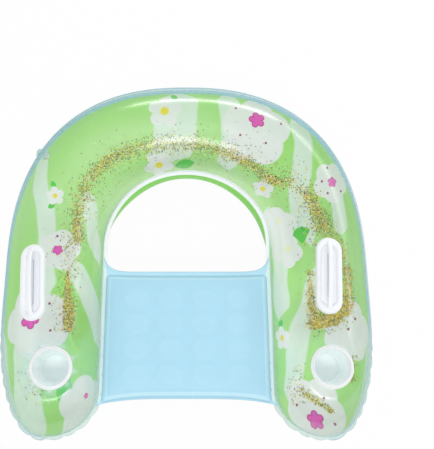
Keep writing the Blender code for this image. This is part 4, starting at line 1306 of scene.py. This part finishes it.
# The grip bar: a rounded section that rises from both ends of the well by a fourth power, with each end
# closed by a fan of triangles.
def gripPiece(name):
    reach = handles["length"] / 2 - handles["rimWidth"] * 0.65
    around, count = handles["gripAround"], handles["gripRows"]
    share = np.sin(np.pi / 2 * np.linspace(-1, 1, count))
    middle = handles["rimHeight"] * 0.6 + handles["gripRise"] * (1 - np.abs(share) ** 4)
    turn = np.linspace(0, 2 * np.pi, around, endpoint=False)
    across = handles["gripWidth"] / 2 * np.sign(np.cos(turn)) * np.abs(np.cos(turn)) ** 0.7
    up = handles["gripThickness"] / 2 * np.sign(np.sin(turn)) * np.abs(np.sin(turn)) ** 0.7
    points = onArm(name, across[None, :] + 0 * share[:, None], reach * share[:, None] + 0 * across,
                   middle[:, None] + up[None, :])
    ends = [onArm(name, np.array([0.0]), np.array([reach * e]), np.array([middle[k]]))
            for e, k in ((-1, 0), (1, -1))]
    k = np.arange(around)
    after, last = (k + 1) % around, (count - 1) * around
    fans = np.vstack([np.stack([after, k, np.full(around, count * around)], -1),
                      np.stack([k + last, after + last, np.full(around, count * around + 1)], -1)])
    step = 1 if handles[name]["side"] > 0 else -1
    faces = gridFaces(count, around, False, True)[:, ::step].tolist() + fans[:, ::step].tolist()
    mesh = bpy.data.meshes.new(name + "_grip_bar")
    mesh.from_pydata(np.vstack([points.reshape(-1, 3), *ends]).tolist(), [], faces)
    mesh.validate()
    mesh.update()
    dress(addThing(name + "_grip_bar", mesh, materials["white"]), "chair", "white_moulding")


topFilm()
bottomFilm()
weldSeam()
print("stage: tube made")
seatFilms()
seatBorder()
print("stage: seat made")
for sideName in ("left", "right"):
    cupPieces(sideName)
    handlePiece(sideName)
    gripPiece(sideName)
print("stage: cups and handles made")


# Glitter

glitter = {
    "seed": 7,
    "size": 0.00158,
    "sizes": (0.65, 1.3),
    "thickness": 0.14,
    "tilt": 0.22,
    "lift": 0.0012,
    "heap": 0.0014,
    "stray": 0.012,
    # For each drift: piece, CAD node, flakes and lowest hue, then a path of steps along the tube with
    # the lean in degrees from the bottom towards the inner weld, the spread in degrees and the share
    "drifts": (
        ("back_glitter", "glitter_back_drift", 6800, 0.28, (
            (2.10, 14, 4, 0.5), (2.15, 9, 3.5, 1.3), (2.21, 4, 4, 1.0), (2.30, -3, 5.5, 0.7),
            (2.40, -8, 6, 0.8), (2.51, -13, 5.5, 1.1), (2.62, -14, 5, 1.4), (2.73, -13, 6, 1.1),
            (2.86, -9, 6.5, 1.2), (2.98, -10, 6.5, 1.3), (3.08, -8, 5.5, 1.3), (3.18, -3, 5, 1.2),
            (3.28, 0, 4.5, 1.1), (3.35, 0, 4.5, 1.0), (3.46, 3, 4, 0.8), (3.51, 1, 3, 1.3),
            (3.54, -3, 2.5, 0.9), (3.58, -14, 5, 0.3), (3.66, -22, 5, 0.5), (3.71, -26, 5, 0.8),
            (3.77, -26, 5, 1.1), (3.83, -28, 6, 1.5), (3.88, -31, 6.5, 1.6))),
        ("left_glitter", "glitter_left_drift", 1900, 0.08, (
            (1.39, 8, 2.0, 0.9), (1.43, 8, 3.0, 1.8), (1.48, 8, 3.6, 1.4), (1.57, 7, 4.2, 1.4),
            (1.66, 5, 3.4, 1.1), (1.75, 4, 2.2, 0.7), (1.86, 3, 1.4, 0.4), (1.95, 2, 1.2, 0.2))),
        ("right_glitter", "glitter_right_drift", 5200, 0.0, (
            (3.90, -36, 7, 0.7), (3.96, -48, 6, 0.8), (4.03, -53, 4.5, 1.0), (4.26, -53, 4.5, 1.2),
            (4.43, -49, 5, 1.4), (4.54, -40, 7, 2.0), (4.51, -28, 9, 1.8), (4.60, -24, 8, 2.4),
            (4.60, -13, 7, 2.0), (4.54, -7, 5, 1.3), (4.40, -3, 3.5, 0.8), (4.25, -3, 3, 0.6),
            (4.05, -4, 3, 0.35))),
        ("foot_glitter", "glitter_foot_drift", 420, 0.28, (
            (5.12, 18, 4, 0.5), (5.19, 10, 3, 0.8), (5.26, 2, 3.5, 1.0), (5.34, -10, 3.5, 1.2),
            (5.43, -23, 2.5, 1.0), (5.47, -28, 2.5, 0.6))),
    ),
    # Single flakes strewn wider: first and last step, lean, spread, flakes
    "strewn": (
        (2.00, 2.40, 2, 13, 420), (2.3, 3.6, -6, 15, 1000), (3.5, 4.0, -20, 14, 560),
        (1.35, 1.95, 5, 9, 320), (1.95, 2.15, 7, 7, 130), (4.0, 4.7, -28, 16, 420),
        (4.9, 5.3, 22, 9, 110), (5.00, 5.20, -57, 3.5, 120), (0.60, 0.90, -37, 14, 110),
    ),
}


# A place on the inside of the bottom film and the way up from it.
def bottomPoint(step, angle):
    outer, inner, share, _ = ribAt(step)
    middle, reach = (outer + inner) / 2, (outer - inner) / 2
    height = tube["halfHeight"] * share
    across = np.cos(angle)
    z = np.maximum(height * np.sin(angle), -tube["seamZ"])
    place = toFrame(middle[:, 0] + reach[:, 0] * across, middle[:, 1] + reach[:, 1] * across, z)
    width = np.maximum(np.linalg.norm(reach, axis=1), 1e-5)
    up = -np.stack([reach[:, 0] / width * across / width, reach[:, 1] / width * across / width,
                    np.sin(angle) / height], -1)
    up[z <= -tube["seamZ"]] = (0, 0, 1)
    return place, up / np.linalg.norm(up, axis=1, keepdims=True)


# Each flake is a flat hexagon drawn out to a very low double cone and tilted a little. They are
# thrown along a path whose stretches hold the shares given, with a normal spread to both sides.
def flakes():
    dice = np.random.default_rng(glitter["seed"])
    k = np.arange(6)
    cone = np.vstack([np.stack([k, (k + 1) % 6, np.full(6, 6)], -1),
                      np.stack([(k + 1) % 6, k, np.full(6, 7)], -1)])
    turn = np.linspace(0, 2 * np.pi, 6, endpoint=False)

    def hexagons(name, step, angle, lowHue, *nodes):
        count = len(step)
        place, up = bottomPoint(step, angle)
        up = up + dice.normal(0, glitter["tilt"], up.shape)
        up /= np.linalg.norm(up, axis=1, keepdims=True)
        side = np.cross(up, dice.normal(0, 1, up.shape))
        side /= np.linalg.norm(side, axis=1, keepdims=True)
        other = np.cross(up, side)
        size = glitter["size"] * dice.uniform(*glitter["sizes"], count)
        base = place + up * (glitter["lift"] + dice.uniform(0, glitter["heap"], count))[:, None]
        ring = base[:, None] + size[:, None, None] * (np.cos(turn)[:, None] * side[:, None]
                                                      + np.sin(turn)[:, None] * other[:, None])
        half = up * size[:, None] * glitter["thickness"]
        tips = np.stack([base + half, base - half], 1)
        points = np.concatenate([ring, tips], 1).reshape(-1, 3)
        faces = (cone[None] + 8 * np.arange(count)[:, None, None]).reshape(-1, 3)
        thing = makeMesh(name, points, faces, materials["glitter"],
                         values={"hue": np.repeat(dice.uniform(lowHue, 1, count), 8)})
        thing.data.shade_flat()
        dress(thing, "chair", "glitter", *nodes)

    for name, cad, count, lowHue, path in glitter["drifts"]:
        step, lean, spread, share = np.array(path).T
        mean = (share[1:] + share[:-1]) / 2
        stretch = dice.choice(len(mean), count, p=mean / mean.sum())
        along = dice.uniform(0, 1, count)
        at = step[stretch] + (step[stretch + 1] - step[stretch]) * along
        middle = lean[stretch] + (lean[stretch + 1] - lean[stretch]) * along
        width = spread[stretch] + (spread[stretch + 1] - spread[stretch]) * along
        hexagons(name, at + dice.normal(0, glitter["stray"], count),
                 -np.pi / 2 - np.radians(middle + width * dice.normal(0, 1, count)), lowHue, cad)
    first, last, lean, spread, count = [np.repeat(column, np.array(glitter["strewn"])[:, 4].astype(int))
                                        for column in np.array(glitter["strewn"]).T]
    at = first + (last - first) * dice.uniform(0, 1, len(first))
    hexagons("strewn_glitter", at, -np.pi / 2 - np.radians(lean + spread * dice.normal(0, 1, len(at))),
             0.30)


flakes()
print("stage: glitter laid")


# Valves

valveShape = {
    "baseRadius": 0.014,
    "baseThickness": 0.0012,
    "hubRadius": 0.0095,
    "hubHeight": 0.0035,
    "stemRadius": 0.0065,
    "bore": 0.0045,
    "reach": {"tube": 0.031, "seat": 0.018},
    "depth": 0.006,
    "lip": 0.0018,
    "collarRadius": 0.0105,
    "collar": 0.0030,
    "hingeArm": 0.0160,
    "plugDepth": 0.004,
    "capRadius": 0.0102,
    "cap": 0.0028,
    "strapWidth": 0.005,
    "strap": 0.0012,
    "flap": 0.0005,
    "gap": 0.0003,
    "corner": 0.0008,
    "flapOverlap": 0.001,
    "baseAround": 72,
    "around": 64,
    "flapAround": 48,
}


# A flat bar along X with its long edges rounded: a rounded section carried along.
def barMesh(start, end, width, low, high):
    half, mid, thick = width / 2, (low + high) / 2, (high - low) / 2
    turn = np.linspace(0, 2 * np.pi, 20, endpoint=False)
    y = half * np.sign(np.cos(turn)) * np.abs(np.cos(turn)) ** 0.35
    z = thick * np.sign(np.sin(turn)) * np.abs(np.sin(turn)) ** 0.35
    rows = [np.stack([np.full(20, x), y * share, mid + z * share], -1) for x, share in (
        (start, 0.001), (start, 0.9), (start + thick * 0.4, 1.0), (end - thick * 0.4, 1.0), (end, 0.9),
        (end, 0.001))]
    return np.concatenate(rows), gridFaces(6, 20, False, True)


# Two parts as one array of points and one of faces; the second part's faces are turned over.
def joinParts(first, second):
    return (np.concatenate([first[0], second[0]]),
            np.concatenate([first[1], second[1][:, ::-1] + len(first[0])]))


# Base, stem, plug and flap of one valve, each on its own body.
def valvePieces(key):
    v, stand = valveShape, valves[key]
    axes = (stand["strap"], stand["side"], stand["out"])
    bore, gap, depth = v["stemRadius"] + v["gap"], v["gap"], v["depth"]
    reach = v["reach"][key]
    top, face, deck = reach + gap, -depth - gap, gap + v["baseThickness"]
    collar, lip, stem = reach - v["collar"], bore + v["lip"], v["stemRadius"]
    radius, cap = v["bore"] - gap, v["capRadius"]

    def add(piece, parts, look, slotName, body, cad):
        points, faces = parts
        thing = makeMesh(key + piece, placeAt(points, stand["origin"], *axes), faces, materials[look],
                         flip=True)
        dress(thing, body, slotName, key + cad)
        return thing

    wide, hub = v["baseRadius"], v["hubRadius"]
    base = rounded([(bore, gap), (wide, gap), (wide, gap + v["baseThickness"] / 2),
                    (wide - 0.0008, deck), (hub, deck), (hub - 0.0003, v["hubHeight"]),
                    (bore, v["hubHeight"])], 2)
    add("_valve_flange", spin(base, v["baseAround"]), "valve", "valve", "chair", "_valve_base")
    # Two more points hold the rounding short where the stem meets its lip and its collar, so that the
    # collar can come down on the base
    pipe = rounded([(v["bore"], -depth), (lip, -depth), (lip, -depth + v["lip"]),
                    (stem, -depth + v["lip"]), (stem, v["corner"] - depth + v["lip"]),
                    (stem, collar - v["corner"]), (stem, collar), (v["collarRadius"], collar),
                    (v["collarRadius"], reach), (v["bore"], reach)], 2)
    ear = barMesh(stem + 0.0005, v["hingeArm"], v["strapWidth"], collar + v["strap"] / 2,
                  reach - 0.0002)
    add("_valve_tube", joinParts(spin(pipe, v["around"]), ear), "valve", "valve", key + "_valve_stem",
        "_valve_stem")
    plug = rounded([(poleRadius, top - v["plugDepth"]), (radius - 0.0012, top - v["plugDepth"]),
                    (radius - 0.0004, top), (cap, top), (cap, top + v["cap"] * 0.6),
                    (cap * 0.88, top + v["cap"]), (cap * 0.45, top + v["cap"]),
                    (poleRadius, top + v["cap"] * 0.75)], 1)
    plug[:, 0] = np.maximum(plug[:, 0], poleRadius)
    strap = barMesh(cap * 0.8, v["hingeArm"] - gap, v["strapWidth"], top + 0.0001, top + v["strap"])
    add("_valve_stopper", joinParts(spin(plug, v["around"]), strap), "valve", "valve",
        key + "_valve_plug", "_valve_plug")
    width, back = v["bore"] + v["flapOverlap"], face - v["flap"]
    flap = [(poleRadius, back), (width, back), (width, face), (poleRadius, face)]
    leaf = add("_valve_leaf", spin(flap, v["flapAround"]), "pot", "cup_film", key + "_valve_flap",
               "_valve_flap")
    leaf.data.set_sharp_from_angle(angle=0.7)


for valveKey in valves:
    valvePieces(valveKey)
print("stage: valves made")


# Studio

studio = {
    "floorSize": 14.0,
    "floorHeight": -0.0005,
    "floorTone": 0.86,
    "worldStrength": 0.67,
    "floorShow": 0.96,
    "camera": (0.0, -0.370, 1.7556),
    "tilt": np.radians(15.54),
    "lens": 46.33,
    "shiftX": 30.5 / 434,
    "aim": (0, 0, 0.1),
    # Soft boxes: place, width, height, power
    "boxes": {
        "behindBox": ((0.35, 3.4, 1.75), 2.6, 0.26, 25.0),
        "aboveBox": ((-0.1, -2.6, 3.9), 2.8, 0.90, 64.0),
        "rightBox": ((3.4, 0.9, 2.15), 2.4, 0.26, 13.0),
        "cornerBox": ((2.6, 2.6, 1.9), 1.6, 0.22, 8.0),
    },
}


# A pale floor that the camera sees almost white, with the chair's soft shadow left on it. From below
# the camera looks through it.
def studioFloor():
    half, low, tone = studio["floorSize"] / 2, studio["floorHeight"], studio["floorTone"]
    points = np.array([(-half, -half, low), (half, -half, low), (half, half, low), (-half, half, low)])
    material, tree, output = newMaterial("studio floor")
    diffuse = node(tree, "BsdfDiffuse", {"Color": (tone, tone, tone, 1)})
    white = node(tree, "Emission", {"Color": (1, 1, 1, 1), "Strength": 1.0})
    path = node(tree, "LightPath")
    seen = calc(tree, "MAXIMUM", path.outputs["Is Camera Ray"], calc(
        tree, "MAXIMUM", path.outputs["Is Glossy Ray"], path.outputs["Is Transmission Ray"]))
    share = calc(tree, "MULTIPLY", seen, studio["floorShow"])
    mix = blendShader(tree, share, diffuse.outputs[0], white.outputs[0])
    below = calc(tree, "MULTIPLY", path.outputs["Is Camera Ray"],
                 node(tree, "NewGeometry").outputs["Backfacing"])
    clear = node(tree, "BsdfTransparent", {"Color": (1, 1, 1, 1)})
    tree.links.new(blendShader(tree, below, mix, clear.outputs[0]), output.inputs[0])
    floor = makeMesh("studio_floor", points, np.array([[0, 1, 2, 3]]), material)


# An even sky, white to the camera and softer to the chair, and four soft boxes.
def studioLights():
    world = bpy.data.worlds.new("studio")
    world.use_nodes = True
    tree = world.node_tree
    seen = node(tree, "LightPath").outputs["Is Camera Ray"]
    strength = calc(tree, "MULTIPLY_ADD", seen, 1 - studio["worldStrength"], studio["worldStrength"])
    background = tree.nodes["Background"]
    background.inputs[0].default_value = (1, 1, 1, 1)
    tree.links.new(strength, background.inputs[1])
    bpy.context.scene.world = world
    for name, (place, width, height, power) in studio["boxes"].items():
        light = bpy.data.lights.new(name, "AREA")
        light.shape = "RECTANGLE"
        light.size, light.size_y = width, height
        light.energy = power
        lamp = bpy.data.objects.new(name, light)
        lamp.location = place
        way = Vector(studio["aim"]) - Vector(place)
        lamp.rotation_euler = way.to_track_quat("-Z", "Y").to_euler()
        bpy.context.scene.collection.objects.link(lamp)


# The photograph's viewing angle: above the foot end, tilted towards the back.
def studioCamera():
    camera = bpy.data.cameras.new("camera")
    camera.lens = studio["lens"]
    camera.sensor_width = 36.0
    camera.sensor_fit = "HORIZONTAL"
    camera.shift_x = studio["shiftX"]
    camera.clip_end = 60.0
    thing = bpy.data.objects.new("camera", camera)
    thing.location = studio["camera"]
    thing.rotation_euler = (studio["tilt"], 0, 0)
    bpy.context.scene.collection.objects.link(thing)
    bpy.context.scene.camera = thing


studioFloor()
studioLights()
studioCamera()
bpy.context.scene.view_settings.view_transform = "Standard"
print("stage: studio set")
